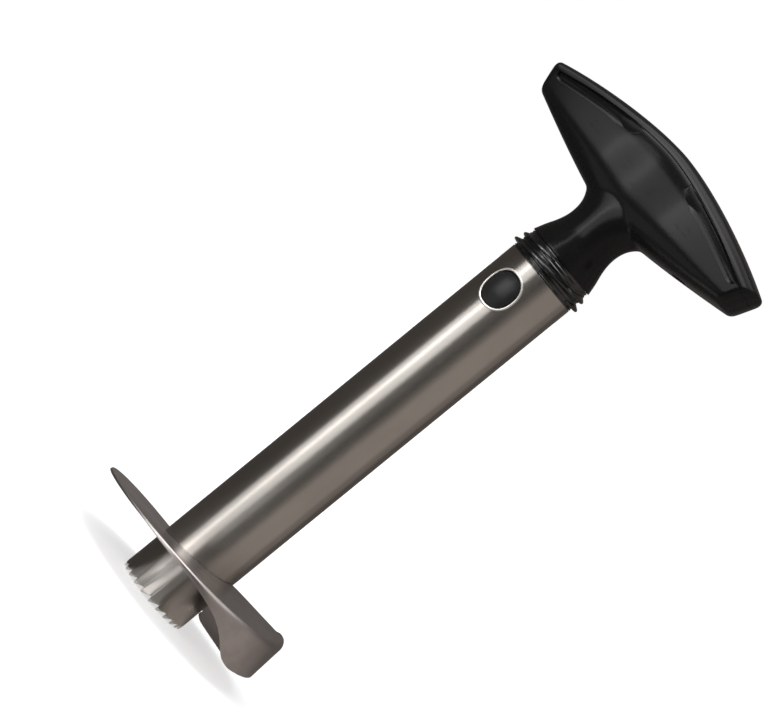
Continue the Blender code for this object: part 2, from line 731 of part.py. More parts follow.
def make_grip_body():
    body = grip_envelope("grip_body", 0, parts)
    fuse(body, make_neck())
    cut(body, seam_block("above_seam", False, 0))

    hollow = grip_envelope("body_hollow", GRIP_WALL, cutters)
    boss_top = underside_at(COVER_SCREW_OFFSET) + BODY_BOSS_TOP
    for side in (-1, 1):
        boss = cylinder(f"body_boss_{side}", BODY_BOSS_RADIUS, hub_under, boss_top)
        boss.location.x = side * COVER_SCREW_OFFSET
        cut(hollow, boss)
    cut(body, hollow)

    hole = COVER_SCREW_RADIUS + FIT_GAP
    bore = COVER_SCREW_HEAD_RADIUS + FIT_GAP
    seat = underside_at(COVER_SCREW_OFFSET) + COVER_SCREW_DEPTH
    low = seat - COVER_SCREW_DEPTH - CUT_OVERRUN
    high = boss_top + CUT_OVERRUN
    for side in (-1, 1):
        outline = ((0, high), (hole, high), (hole, seat), (bore, seat), (bore, low), (0, low))
        counterbore = turned(f"cover_counterbore_{side}", outline, cutters, SMALL_ROUND_STEPS)
        counterbore.location.x = side * COVER_SCREW_OFFSET
        cut(body, counterbore)

    socket_size = (
        KEY_WIDTH + FIT_GAP * 2, KEY_DEPTH + FIT_GAP * 2, KEY_HEIGHT + FIT_GAP + CUT_OVERRUN)
    cut(body, box("key_socket", socket_size, (0, 0, socket_top - socket_size[2] / 2)))
    hole = CENTRE_SCREW_RADIUS + FIT_GAP
    well_top = hub_under + GRIP_WALL + CUT_OVERRUN
    outline = (
        (0, well_top), (NECK_WELL_RADIUS, well_top), (NECK_WELL_RADIUS, neck_floor_top),
        (hole, neck_floor_top), (hole, socket_top - CUT_OVERRUN), (0, socket_top - CUT_OVERRUN))
    cut(body, turned("neck_well", outline, cutters, ROUND_STEPS // 2))

    for side in (-1, 1):
        groove = groove_cutter(f"groove_{side}", side)
        mirror = groove.modifiers.new("Other wing", "MIRROR")
        mirror.use_mirror_merge = False
        cut(body, groove)
    finish_plastic(body)
    return seat - FIT_GAP


def make_grip_top_cover():
    cover = grip_envelope("grip_top_cover", 0, parts)
    cut(cover, seam_block("below_seam", True, FIT_GAP))
    cut(cover, grip_envelope("cover_hollow", GRIP_WALL, cutters))
    boss_foot = underside_at(COVER_SCREW_OFFSET) + BODY_BOSS_TOP + FIT_GAP
    boss_top = crown_at(COVER_SCREW_OFFSET) - GRIP_WALL / 2
    hole = COVER_SCREW_RADIUS + FIT_GAP
    seat = underside_at(COVER_SCREW_OFFSET) + COVER_SCREW_DEPTH
    hole_top = seat + cover_screw_length() + FIT_GAP
    for side in (-1, 1):
        outline = (
            (0, boss_top), (COVER_BOSS_RADIUS, boss_top), (COVER_BOSS_RADIUS, boss_foot),
            (hole, boss_foot), (hole, hole_top), (0, hole_top))
        boss = turned(f"cover_boss_{side}", outline, cutters, SMALL_ROUND_STEPS)
        boss.location.x = side * COVER_SCREW_OFFSET
        fuse(cover, boss)
    finish_plastic(cover, 0.34)
    return cover


# Screws and washer

def make_screw(name, radius, length, head_radius, head_height, seat, head_up):
    """Pan-head screw with a cross recess; its origin is under the head, at the given place."""
    crown = head_radius * SCREW_CROWN_SHARE
    outline = (
        (0, head_height), (crown, head_height), (head_radius, head_height / 2), (head_radius, 0),
        (radius, 0), (radius, radius - length), (0, -length))
    screw = turned(name, outline, parts, SMALL_ROUND_STEPS)
    recess_depth = head_height * RECESS_DEPTH_SHARE
    slot_length = head_radius * RECESS_LENGTH_SHARE
    slot_width = head_radius * RECESS_WIDTH_SHARE
    for index, size in enumerate(((slot_length, slot_width), (slot_width, slot_length))):
        slot = box(
            f"{name}_slot_{index}", (*size, recess_depth + CUT_OVERRUN),
            (0, 0, head_height + (CUT_OVERRUN - recess_depth) / 2))
        slot.parent = screw
        cut(screw, slot)
    screw.location = seat
    screw.rotation_euler.x = 0 if head_up else pi
    finish_steel(screw, 0.35)
    return screw


def make_washer():
    under = neck_floor_top + FIT_GAP
    top = under + WASHER_THICKNESS
    hole = CENTRE_SCREW_RADIUS + FIT_GAP
    outline = ((hole, top), (WASHER_RADIUS, top), (WASHER_RADIUS, under), (hole, under), (hole, top))
    finish_steel(turned("centre_washer", outline, parts, ROUND_STEPS // 2))
    return top + FIT_GAP


def build():
    make_core_tube()
    make_slicing_blade()
    make_spigot()
    cap_screw_seat = make_spigot_end_cap()
    cover_screw_seat = make_grip_body()
    make_grip_top_cover()
    for place, side in (("front", 1), ("rear", -1)):
        make_button(f"release_button_{place}", side)
        make_spring(f"button_spring_{place}", side)
    centre_seat = make_washer()
    make_screw(
        "centre_screw", CENTRE_SCREW_RADIUS, CENTRE_SCREW_LENGTH, CENTRE_SCREW_HEAD_RADIUS,
        CENTRE_SCREW_HEAD_HEIGHT, (0, 0, centre_seat), True)
    for place, side in (("left", -1), ("right", 1)):
        make_screw(
            f"cap_screw_{place}", CAP_SCREW_RADIUS, CAP_SCREW_LENGTH, CAP_SCREW_HEAD_RADIUS,
            CAP_SCREW_HEAD_HEIGHT, (side * cap_screw_offset, 0, cap_screw_seat), False)
        make_screw(
            f"cover_screw_{place}", COVER_SCREW_RADIUS, cover_screw_length(),
            COVER_SCREW_HEAD_RADIUS, COVER_SCREW_HEAD_HEIGHT,
            (side * COVER_SCREW_OFFSET, 0, cover_screw_seat), False)


build()
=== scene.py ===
"""Pineapple slicer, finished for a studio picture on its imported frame.

A toothed steel coring tube carries a one-turn slicing blade. A black T-grip stands on the tube
by a plug, which two sprung buttons lock into windows near the tube's top. Metres, +Z up: the
tube's axis is Z, the tooth tips stand on the floor, the grip spans X, and the buttons face -Y
and +Y. Angles are counterclockwise from +X, seen from above.
"""
from collections import namedtuple
from math import atan2, copysign, cos, degrees, hypot, pi, radians, sin, sqrt, tau

import bmesh
import bpy
from bpy.props import FloatProperty, FloatVectorProperty, IntProperty, PointerProperty
from mathutils import Matrix, Vector


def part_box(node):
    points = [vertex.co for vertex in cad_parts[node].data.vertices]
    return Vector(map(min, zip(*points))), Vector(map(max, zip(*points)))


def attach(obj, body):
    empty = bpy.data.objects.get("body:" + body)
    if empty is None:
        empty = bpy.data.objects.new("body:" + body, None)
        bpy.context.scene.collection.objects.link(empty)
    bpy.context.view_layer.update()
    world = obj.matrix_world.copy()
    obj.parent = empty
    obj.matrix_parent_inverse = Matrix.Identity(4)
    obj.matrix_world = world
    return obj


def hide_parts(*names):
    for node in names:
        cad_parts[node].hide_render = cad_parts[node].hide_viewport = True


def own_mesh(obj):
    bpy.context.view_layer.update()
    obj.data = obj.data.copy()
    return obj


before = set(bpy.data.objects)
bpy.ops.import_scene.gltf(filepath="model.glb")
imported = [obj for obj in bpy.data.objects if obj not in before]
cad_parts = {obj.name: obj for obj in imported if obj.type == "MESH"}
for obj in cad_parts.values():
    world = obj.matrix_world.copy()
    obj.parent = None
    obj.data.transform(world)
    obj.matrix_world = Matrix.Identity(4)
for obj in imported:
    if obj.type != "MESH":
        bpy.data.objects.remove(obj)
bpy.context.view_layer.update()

bl_info = {
    "name": "Pineapple Slicer",
    "version": (1, 0, 0),
    "blender": (4, 5, 0),
    "location": "3D View > Sidebar > Slicer",
    "description": "Builds a coring and slicing tool with a T-grip, and a studio to show it in",
    "category": "Object",
}

mm = 0.001

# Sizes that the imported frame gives
TUBE_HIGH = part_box("core_tube")[1]
BUTTON_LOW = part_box("release_button_front")[0]

FIT_GAP = 0.3 * mm
OVERRUN = 2.0 * mm

# Coring tube: the tooth outline is (share of the pitch, share of the depth)
TUBE_RADIUS = TUBE_HIGH.x
TUBE_LENGTH = TUBE_HIGH.z
TUBE_WALL = 0.8 * mm
TUBE_EDGE = 0.12 * mm
MERGE_DISTANCE = TUBE_EDGE / 50
POLE_RADIUS = TUBE_EDGE / 1000
TOOTH_COUNT = 22
TOOTH_DEPTH = 1.9 * mm
TOOTH_GRIND = 0.3 * mm
TOOTH_GRIND_HEIGHT = 0.7 * mm
TOOTH_SHARES = (
    (0.0, 0.0), (0.05, 0.0), (0.1, 0.02), (0.2, 0.13), (0.32, 0.29), (0.44, 0.45), (0.56, 0.6),
    (0.68, 0.75), (0.79, 0.88), (0.87, 0.96), (0.93, 1.0), (0.965, 0.93), (0.985, 0.6))
TUBE_ROW_SHARES = (0.05, 0.2, 0.4, 0.6, 0.8)

# Button windows and buttons
WINDOW_HEIGHT = 14.5 * mm
WINDOW_WIDTH = 12.3 * mm
WINDOW_DROP = 13.2 * mm
WINDOW_SQUARENESS = 2.3
WINDOW_RIM_RADIUS = 0.5 * mm
RIM_SPREAD_SHARE = 0.8
RIM_SINK_SHARE = 0.4
BUTTON_CROWN = 1.4 * mm
BUTTON_CROWN_POWER = 2.4
BUTTON_CROWN_STEPS = 16
BUTTON_FLANGE_LIP = 1.0 * mm
BUTTON_FLANGE_THICKNESS = 1.6 * mm
BUTTON_FACE_THICKNESS = 3.4 * mm

# Slicing blade, by the turn from its leading edge
BLADE_GAUGE = 0.8 * mm
BLADE_PITCH = 15.0 * mm
BLADE_START_HEIGHT = 8.9 * mm
BLADE_RADIUS = 43.7 * mm
BLADE_DRAW_IN = 1.0 * mm
BLADE_DRAW_IN_TURN = radians(300)
BLADE_LEAD_BEARING = radians(-11)
BLADE_TURN = radians(400)
BLADE_STEP = radians(2)
BLADE_KNIFE_TURN = radians(7)
BLADE_KNIFE_SHARE = 0.2
BLADE_BEND = 2.6 * mm
BLADE_BEND_STEPS = 7
BLADE_BEND_LIMIT_SHARE = 0.6
BLADE_LIP = 0.1 * mm
LEAST_INSIDE_BEND = BLADE_LIP / 4
THROAT_REACH = 8.4 * mm
THROAT_TURN = radians(25)
TAIL_TURN = radians(25)

# Paring wall: share of its full drop, against the turn in degrees
PARING_SHARES = (
    (240, 0.0), (283, 0.07), (305, 0.11), (313, 0.15), (320, 0.21), (328, 0.3), (335, 0.43),
    (341, 0.59), (346, 0.76), (351, 0.9), (356, 0.97), (361, 1.0), (470, 1.0))
PARING_END_TURN = radians(465)
PARING_END_SHARE = 0.12
PARING_SKIRT = 0.4 * mm
PARING_KNIFE_HEIGHT = 2.2 * mm
PARING_KNIFE_LIMIT_SHARE = 0.6
WELD_TURNS = (radians(9), radians(50), radians(93))
WELD_SHARE = 0.35

# Plug, threaded collar and key
PLUG_LENGTH = 29.1 * mm
PLUG_STOP_WALL = 3.3 * mm
PLUG_POCKET_HEADROOM = 1.15 * mm
PLUG_POCKET_SIDE_ROOM = 0.15 * mm
PLUG_EDGE = 0.4 * mm
COLLAR_HEIGHT = 8.0 * mm
COLLAR_OVERHANG = 0.1 * mm
COLLAR_TAPER = 0.6 * mm
COLLAR_STEP_INSET = 0.25 * mm
COLLAR_STEP_GAP = 0.03 * mm
COLLAR_RIBS = 6
COLLAR_RIB_DEPTH = 0.3 * mm
COLLAR_RIB_STEPS = 8
THREAD_STARTS = 2
THREAD_TURN = radians(305)
THREAD_STEP = radians(3)
THREAD_FADE_TURN = radians(40)
THREAD_BEARING = radians(164)
THREAD_LIFT = 1.2 * mm
THREAD_TOP_MARGIN = 1.0 * mm
THREAD_START_DEPTH = 1.9 * mm
THREAD_END_DEPTH = 1.1 * mm
THREAD_ROOT_THICKNESS = 2.4 * mm
THREAD_CREST_THICKNESS = 1.0 * mm
THREAD_CREST_EDGE = 0.3 * mm
THREAD_DROOP = 0.35 * mm
KEY_WIDTH = 13.0 * mm
KEY_DEPTH = 9.0 * mm
KEY_HEIGHT = 8.0 * mm

# Springs
SPRING_RADIUS = 2.9 * mm
SPRING_WIRE_RADIUS = 0.3 * mm
SPRING_TURNS = 6
SPRING_DEAD_PITCH = 0.9 * mm
SPRING_STEPS_PER_TURN = 32
WEB_THICKNESS = 2.4 * mm

# Neck and T-grip
GRIP_RISE = 56.6 * mm
GRIP_HALF_SPAN = 58.6 * mm
GRIP_CROWN_DROP = 13.1 * mm
GRIP_CROWN_POWER = 1.7
GRIP_HUB_DEPTH = 35.5 * mm
GRIP_TIP_DEPTH = 10.4 * mm
GRIP_UNDER_POWER = 1.2
GRIP_HALF_WIDTH = 13.3 * mm
GRIP_HUB_WIDTH_SHARE = 0.93
GRIP_TIP_WIDTH_SHARE = 0.79
GRIP_WIDEST_SHARE = 0.3
GRIP_NARROWING_POWER = 1.6
GRIP_SQUARENESS = 2.7
GRIP_TIP_SQUARENESS = 4.6
GRIP_TIP_CROWN_SQUARENESS = 3.1
GRIP_END_SLANT = 0.42
GRIP_END_ROUND = 1.6 * mm
GRIP_END_STEPS = 6
GRIP_FACE_STEPS = 8
GRIP_END_BULGE = 3.0 * mm
GRIP_WALL = 2.4 * mm
SEAM_DROP = 4.1 * mm
SEAM_GAP = 0.12 * mm
SEAM_EDGE = 0.15 * mm
COVER_EDGE = 0.55 * mm
SEAM_EDGE_STEPS = 4
TONGUE_OUTSET = 1.0 * mm
TONGUE_THICKNESS = 0.9 * mm
TONGUE_DEPTH = 1.0 * mm
TONGUE_GAP = 0.03 * mm
TONGUE_EDGE = SEAM_EDGE / 4
GROOVE_DEPTH = 1.4 * mm
GROOVE_START = 13.0 * mm
GROOVE_END = 52.0 * mm
GROOVE_FADE = 11.0 * mm
GROOVE_START_SHARE = 0.22
GROOVE_LEAST_DROP = 0.002
GROOVE_STEPS = 80
GROOVE_BACK_STEPS = 10
# Millimetres from the hub, and from the seam down to the groove's lower edge
GROOVE_DROPS = (
    (13, 8.4), (17.2, 7.0), (20.8, 5.5), (24.1, 4.8), (28.9, 4.5), (35, 4.3), (40.4, 4.1),
    (48, 3.7), (52, 3.5))
GROOVE_LIP = 1.6 * mm
GROOVE_SOFT_LIP = 2.0 * mm
GROOVE_LIP_STEPS = 6
NECK_OVERHANG = 0.5 * mm
NECK_STEPS = 40
NECK_SINK = 8.9 * mm
NECK_SHARES = (
    (0.0, 1.0, 1.0), (0.15, 0.91, 0.91), (0.29, 0.81, 0.81), (0.42, 0.755, 0.75),
    (0.55, 0.755, 0.745), (0.68, 0.84, 0.75), (0.8, 1.06, 0.755), (0.9, 1.46, 0.75),
    (1.0, 1.9, 0.74))
NECK_FLOOR = 5.0 * mm
NECK_WELL_RADIUS = 7.5 * mm
GRIP_VOXEL = 0.42 * mm
GRIP_STATIONS = 60
HOLLOW_STATIONS = 24
GRIP_RING_POINTS = 96
GRIP_SOFTENING = 4
NECK_SOFTENING = 24
NECK_SOFTENING_REACH = 7.0 * mm
# Smoothing passes of the hub's faces, and the shares of its half width where they begin
HUB_FACE_SOFTENING = 16
HUB_FACE_START = 0.8
HUB_FACE_BLEND = 0.12
HUB_FACE_FADE = 6.0 * mm

# Screws
Screw = namedtuple("Screw", "radius length head_radius head_height")
CENTRE_SCREW = Screw(2.5 * mm, 20.0 * mm, 4.6 * mm, 2.8 * mm)
CAP_SCREW = Screw(1.3 * mm, 12.0 * mm, 2.3 * mm, 1.3 * mm)
CAP_SCREW_WALL = 1.3 * mm
COVER_SCREW_OFFSET = 33.0 * mm
COVER_SCREW_HEADROOM = 6.1 * mm
COVER_SCREW_DEPTH = 3.5 * mm
WASHER_THICKNESS = 1.0 * mm
CAP_THICKNESS = 3.0 * mm
BODY_BOSS_RADIUS = 4.4 * mm
BODY_BOSS_HEIGHT = 11.0 * mm
COVER_BOSS_RADIUS = 3.2 * mm
SCREW_ROOT_SHARE = 0.76
SCREW_PITCH_SHARE = 0.55
SCREW_CROWN_SHARE = 0.6
SCREW_RIM_SHARE = 1 / 3
SCREW_CROWN_STEPS = 8
SCREW_STEPS_PER_TURN = 24
# Shares of the pitch: how deep the ridge is sunk into the shank, and half its crest's width
RIDGE_SINK_SHARE = 1 / 4
RIDGE_CREST_SHARE = 1 / 12
RECESS_DEPTH_SHARE = 0.55
RECESS_LENGTH_SHARE = 1.2
RECESS_WIDTH_SHARE = 0.28

ROUND_STEPS = 128
SMALL_ROUND_STEPS = 40
OVAL_POINTS = 120
WIRE_POINTS = 12
SHARP_ANGLE = radians(35)
FRONT_AND_REAR = (("front", 1), ("rear", -1))

# Heights and radii that follow from the sizes above
window_height = TUBE_LENGTH - WINDOW_DROP
collar_base = TUBE_LENGTH + FIT_GAP
collar_top = collar_base + COLLAR_HEIGHT
plug_end = collar_base - PLUG_LENGTH
pocket_top = window_height + WINDOW_HEIGHT / 2 + BUTTON_FLANGE_LIP + PLUG_POCKET_HEADROOM
neck_base = collar_top + FIT_GAP
socket_top = collar_top + KEY_HEIGHT + FIT_GAP
neck_floor_top = socket_top + NECK_FLOOR
crown_height = neck_base + GRIP_RISE
hub_under = crown_height - GRIP_HUB_DEPTH
under_rise = GRIP_HUB_DEPTH - GRIP_CROWN_DROP - GRIP_TIP_DEPTH
neck_height = hub_under + NECK_SINK - neck_base
thread_lead = (COLLAR_HEIGHT - THREAD_LIFT - THREAD_TOP_MARGIN) * tau / THREAD_TURN
plug_radius = TUBE_RADIUS - TUBE_WALL - FIT_GAP
collar_radius = TUBE_RADIUS + COLLAR_OVERHANG
collar_top_radius = collar_radius - COLLAR_TAPER
neck_radius = collar_top_radius + NECK_OVERHANG
pocket_reach = plug_radius - PLUG_STOP_WALL
pocket_half_width = WINDOW_WIDTH / 2 + BUTTON_FLANGE_LIP + PLUG_POCKET_SIDE_ROOM
cap_screw_offset = pocket_half_width + CAP_SCREW_WALL + CAP_SCREW.radius + FIT_GAP
button_apex = -BUTTON_LOW.y
flange_face = pocket_reach - FIT_GAP
flange_back = flange_face - BUTTON_FLANGE_THICKNESS
spring_start = WEB_THICKNESS / 2 + FIT_GAP + SPRING_WIRE_RADIUS
spring_end = button_apex - BUTTON_FACE_THICKNESS - FIT_GAP - SPRING_WIRE_RADIUS


def crown_at(x):
    return crown_height - GRIP_CROWN_DROP * (abs(x) / GRIP_HALF_SPAN) ** GRIP_CROWN_POWER


def underside_at(x):
    return hub_under + under_rise * (abs(x) / GRIP_HALF_SPAN) ** GRIP_UNDER_POWER


cover_under = underside_at(COVER_SCREW_OFFSET)
cover_crown = crown_at(COVER_SCREW_OFFSET)
cover_screw_seat = cover_under + COVER_SCREW_DEPTH
boss_top = cover_under + BODY_BOSS_HEIGHT
COVER_SCREW = Screw(
    1.5 * mm, cover_crown - cover_screw_seat - COVER_SCREW_HEADROOM, 2.8 * mm, 1.8 * mm)


def linear(hex_colour):
    """Linear red, green and blue of an sRGB hex colour such as #1c1c1c."""
    shares = [int(hex_colour[place:place + 2], 16) / 255 for place in (1, 3, 5)]
    return [s / 12.92 if s <= 0.04045 else ((s + 0.055) / 1.055) ** 2.4 for s in shares]


def colour_property(name, description, hex_colour):
    return FloatVectorProperty(
        name=name, description=description, default=linear(hex_colour), subtype="COLOR",
        size=3, min=0, max=1)


def length_property(name, description, default):
    return FloatProperty(
        name=name, description=description, default=default, min=0, unit="LENGTH", precision=5)


class SlicerSizes(bpy.types.PropertyGroup):
    """Sizes of the tool that can be changed without moving one piece off another."""
    tooth_count: IntProperty(
        name="Teeth", description="Saw teeth round the mouth of the coring tube",
        default=TOOTH_COUNT, min=3)
    tooth_depth: length_property(
        "Tooth depth", "Height of a tooth from its gullet to its tip", TOOTH_DEPTH)
    rim_radius: length_property(
        "Window rim", "Radius of the burnished rim round each button window", WINDOW_RIM_RADIUS)
    blade_gauge: length_property("Blade gauge", "Thickness of the blade's sheet", BLADE_GAUGE)
    thread_depth: length_property(
        "Thread depth", "How far the collar's thread stands out where it starts",
        THREAD_START_DEPTH)
    groove_depth: length_property(
        "Groove depth", "Depth of the long groove under the top cover", GROOVE_DEPTH)
    spring_turns: IntProperty(
        name="Spring turns", description="Turns of wire in each button spring",
        default=SPRING_TURNS, min=3)


class SlicerColours(bpy.types.PropertyGroup):
    """Colours of the materials, before light falls on them."""
    tube_steel: colour_property("Tube", "Brushed stainless steel of the tube", "#bab5af")
    blade_steel: colour_property("Blade", "Rolled stainless sheet of the blade", "#beb7b5")
    rim_steel: colour_property("Window rim", "Burnished edge of the button window", "#f2f0ec")
    screw_steel: colour_property("Screws", "Zinc-plated screw steel", "#b0aca2")
    spring_steel: colour_property("Springs", "Drawn spring wire", "#8e8c88")
    grip_plastic: colour_property("Grip", "Moulded black plastic of the grip", "#131313")
    plug_plastic: colour_property("Plug", "Moulded black plastic of the plug", "#111111")
    button_plastic: colour_property("Buttons", "Moulded black plastic of the buttons", "#222322")
    floor: colour_property("Floor", "Pale studio floor", "#f2f2f2")


# Shapes

def between(low, high, share):
    return low + (high - low) * share


def eased(low, high, share):
    """Runs smoothly from low to high as the share goes from 0 to 1, and stays there."""
    share = min(1.0, max(0.0, share))
    return between(low, high, share * share * (3 - 2 * share))


def from_table(table, place):
    """Read a table of (place, value, ...) rows along a smooth curve through its rows."""
    places = [row[0] for row in table]
    place = min(max(place, places[0]), places[-1])
    index = max(i for i in range(len(places) - 1) if places[i] <= place)
    low, high = table[index], table[index + 1]
    before = table[max(index - 1, 0)]
    after = table[min(index + 2, len(table) - 1)]
    width = high[0] - low[0]
    share = (place - low[0]) / width
    values = []
    for a, b, c, d in zip(before[1:], low[1:], high[1:], after[1:]):
        start_slope = (c - a) / (high[0] - before[0]) * width
        end_slope = (d - b) / (after[0] - low[0]) * width
        values.append(
            b * (1 + 2 * share) * (1 - share) ** 2 + start_slope * share * (1 - share) ** 2
            + c * (3 - 2 * share) * share ** 2 + end_slope * (share - 1) * share ** 2)
    return values


def quarter_arc(steps):
    """Sine and cosine at even steps of a quarter turn."""
    angles = [pi / 2 * step / steps for step in range(steps + 1)]
    return [(sin(angle), cos(angle)) for angle in angles]


def powered(value, power):
    """Raise a value to a power, but keep its sign."""
    return copysign(abs(value) ** power, value)


def superellipse(half_width, half_height, squareness, count=OVAL_POINTS):
    """Points round an oval that is squarer the higher its squareness, 2 being an ellipse."""
    angles = [tau * step / count for step in range(count)]
    return [
        (half_width * powered(cos(angle), 2 / squareness),
         half_height * powered(sin(angle), 2 / squareness)) for angle in angles]


def window_ring(half_width, half_height, reach):
    """An oval at a window's height that faces -Y at the given distance from the tube's axis."""
    oval = superellipse(half_width, half_height, WINDOW_SQUARENESS)
    return [(across, -reach, window_height + up) for across, up in oval]


def mesh_object(name, points, faces, edges=()):
    mesh = bpy.data.meshes.new(name)
    mesh.from_pydata(points, edges, faces)
    thing = bpy.data.objects.new(name, mesh)
    bpy.context.scene.collection.objects.link(thing)
    return thing


def face_outwards(thing):
    """Merge doubled points, then turn every face of a closed shape outwards."""
    shape = bmesh.new()
    shape.from_mesh(thing.data)
    bmesh.ops.remove_doubles(shape, verts=shape.verts, dist=MERGE_DISTANCE)
    bmesh.ops.recalc_face_normals(shape, faces=shape.faces)
    shape.to_mesh(thing.data)
    shape.free()
    return thing


def skin(name, rings, start_cap, end_cap):
    """Quads between rings that have the same number of points, and caps on the ends."""
    count = len(rings[0])
    points = [point for ring in rings for point in ring]
    faces = []
    for low in range(0, len(points) - count, count):
        for step in range(count):
            turn = (step + 1) % count
            faces.append((low + step, low + turn, low + count + turn, low + count + step))
    if start_cap:
        faces.append(range(count))
    if end_cap:
        faces.append(range(len(points) - count, len(points)))
    return mesh_object(name, points, faces)


def loft(name, rings, start_cap=True):
    return face_outwards(skin(name, rings, start_cap, True))


def turned(name, outline, steps=ROUND_STEPS):
    """Turn an outline of (radius, height) points round Z; points on the axis close it."""
    rings = []
    for radius, height in outline:
        radius = max(radius, POLE_RADIUS)
        rings.append([
            (radius * cos(tau * s / steps), radius * sin(tau * s / steps), height)
            for s in range(steps)])
    return loft(name, rings)


def rod(name, radius, low, high, steps=SMALL_ROUND_STEPS):
    return turned(name, ((radius, low), (radius, high)), steps)


def block(name, size, centre, edge=0.0):
    """Box with its upright edges cut off at 45 degrees, or left square when edge is 0."""
    half_x, half_y, half_z = (side / 2 for side in size)
    corners = []
    for sign_x, sign_y in ((1, 1), (-1, 1), (-1, -1), (1, -1)):
        pair = [
            (sign_x * half_x, sign_y * (half_y - edge)),
            (sign_x * (half_x - edge), sign_y * half_y)]
        if edge == 0:
            pair = pair[:1]
        corners += pair if sign_x * sign_y > 0 else pair[::-1]
    rings = [
        [(centre[0] + x, centre[1] + y, centre[2] + z) for x, y in corners]
        for z in (-half_z, half_z)]
    return loft(name, rings)


def place(thing, turn=(0, 0, 0), move=(0, 0, 0)):
    """Turn and move a shape in its mesh, so that its object stays at the origin."""
    for axis, angle in zip("XYZ", turn):
        thing.data.transform(Matrix.Rotation(angle, 4, axis))
    thing.data.transform(Matrix.Translation(move))
    return thing


def both_sides(offset, make):
    """The same shape at each side of the middle."""
    return [place(make(), move=(side * offset, 0, 0)) for side in (-1, 1)]


def combine(thing, tools, operation):
    """Cut each tool from a shape, or fuse it on, and delete the tools."""
    for tool in tools:
        change = thing.modifiers.new(tool.name, "BOOLEAN")
        change.operation = operation
        change.solver = "EXACT"
        change.object = tool
    flatten(thing)
    for tool in tools:
        bpy.data.objects.remove(tool)
    return thing


def cut(thing, *tools):
    return combine(thing, tools, "DIFFERENCE")


def fuse(thing, *tools):
    return combine(thing, tools, "UNION")


def mirror_x(thing):
    mirror = thing.modifiers.new("Other wing", "MIRROR")
    mirror.merge_threshold = MERGE_DISTANCE
    return flatten(thing)


def flatten(thing):
    """Turn what the modifiers make into a plain mesh, and remove them."""
    bpy.context.view_layer.update()
    shown = thing.evaluated_get(bpy.context.evaluated_depsgraph_get())
    mesh = bpy.data.meshes.new_from_object(shown)
    thing.modifiers.clear()
    thing.data = mesh
    return thing


def settle(thing, piece, *nodes, body="slicer", sharp=SHARP_ANGLE):
    """Give a finished mesh the material of its kind of piece, its shading and its body, and hide
    the CAD nodes it stands for."""
    if not thing.data.polygons:
        raise RuntimeError(f"{thing.name} has no faces")
    thing.data.materials.clear()
    thing.data.materials.append(material_of(piece))
    thing.data.shade_smooth()
    if sharp:
        thing.data.set_sharp_from_angle(angle=sharp)
    if nodes:
        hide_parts(*nodes)
    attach(thing, body)


# Node trees

SOCKET_KINDS = {
    int: "NodeSocketInt", float: "NodeSocketFloat", bpy.types.Material: "NodeSocketMaterial"}


def set_inputs(tree, node, inputs):
    """Set a node's inputs by name or number, or link them where a socket or a node is given."""
    for socket, value in inputs.items():
        if isinstance(value, bpy.types.Node):
            value = value.outputs[0]
        if isinstance(value, bpy.types.NodeSocket):
            tree.links.new(value, node.inputs[socket])
        else:
            node.inputs[socket].default_value = value


def add_node(tree, kind, inputs=None, **settings):
    """Add a node with its settings and links."""
    node = tree.nodes.new(kind)
    for field, value in settings.items():
        setattr(node, field, value)
    set_inputs(tree, node, inputs or {})
    return node


def wind_strip(tree, given):
    """Wraps a strip of (radius, turn, height) points round Z, rising by the pitch each turn,
    and sets copies of it evenly round the axis."""
    position = add_node(tree, "GeometryNodeInputPosition")
    strip = add_node(tree, "ShaderNodeSeparateXYZ", {"Vector": position}).outputs
    angle = add_node(
        tree, "ShaderNodeMath", {0: strip["Y"], 1: given["Bearing"]}, operation="ADD")
    turns = add_node(tree, "ShaderNodeMath", {0: strip["Y"], 1: 1 / tau}, operation="MULTIPLY")
    height = add_node(
        tree, "ShaderNodeMath", {0: given["Pitch"], 1: turns, 2: strip["Z"]},
        operation="MULTIPLY_ADD")
    sides = []
    for function in ("COSINE", "SINE"):
        share = add_node(tree, "ShaderNodeMath", {0: angle}, operation=function)
        sides.append(add_node(
            tree, "ShaderNodeMath", {0: strip["X"], 1: share}, operation="MULTIPLY"))
    wrapped = add_node(tree, "ShaderNodeCombineXYZ", {"X": sides[0], "Y": sides[1], "Z": height})
    wound = add_node(tree, "GeometryNodeSetPosition", {
        "Geometry": given["Geometry"], "Position": wrapped})
    centres = add_node(tree, "GeometryNodeMeshLine", {
        "Count": given["Copies"], "Offset": (0, 0, 0)})
    step = add_node(tree, "ShaderNodeMath", {0: tau, 1: given["Copies"]}, operation="DIVIDE")
    index = add_node(tree, "GeometryNodeInputIndex")
    turn = add_node(tree, "ShaderNodeMath", {0: step, 1: index}, operation="MULTIPLY")
    facing = add_node(tree, "ShaderNodeCombineXYZ", {"Z": turn})
    return add_node(tree, "GeometryNodeInstanceOnPoints", {
        "Points": centres, "Instance": wound, "Rotation": facing})


def sweep_wire(tree, given):
    """Sweeps a round wire along the edges of a mesh."""
    wire_path = add_node(tree, "GeometryNodeMeshToCurve", {"Mesh": given["Geometry"]})
    section = add_node(tree, "GeometryNodeCurvePrimitiveCircle", {
        "Resolution": given["Points round"], "Radius": given["Radius"]})
    return add_node(tree, "GeometryNodeCurveToMesh", {
        "Curve": wire_path, "Profile Curve": section, "Fill Caps": True})


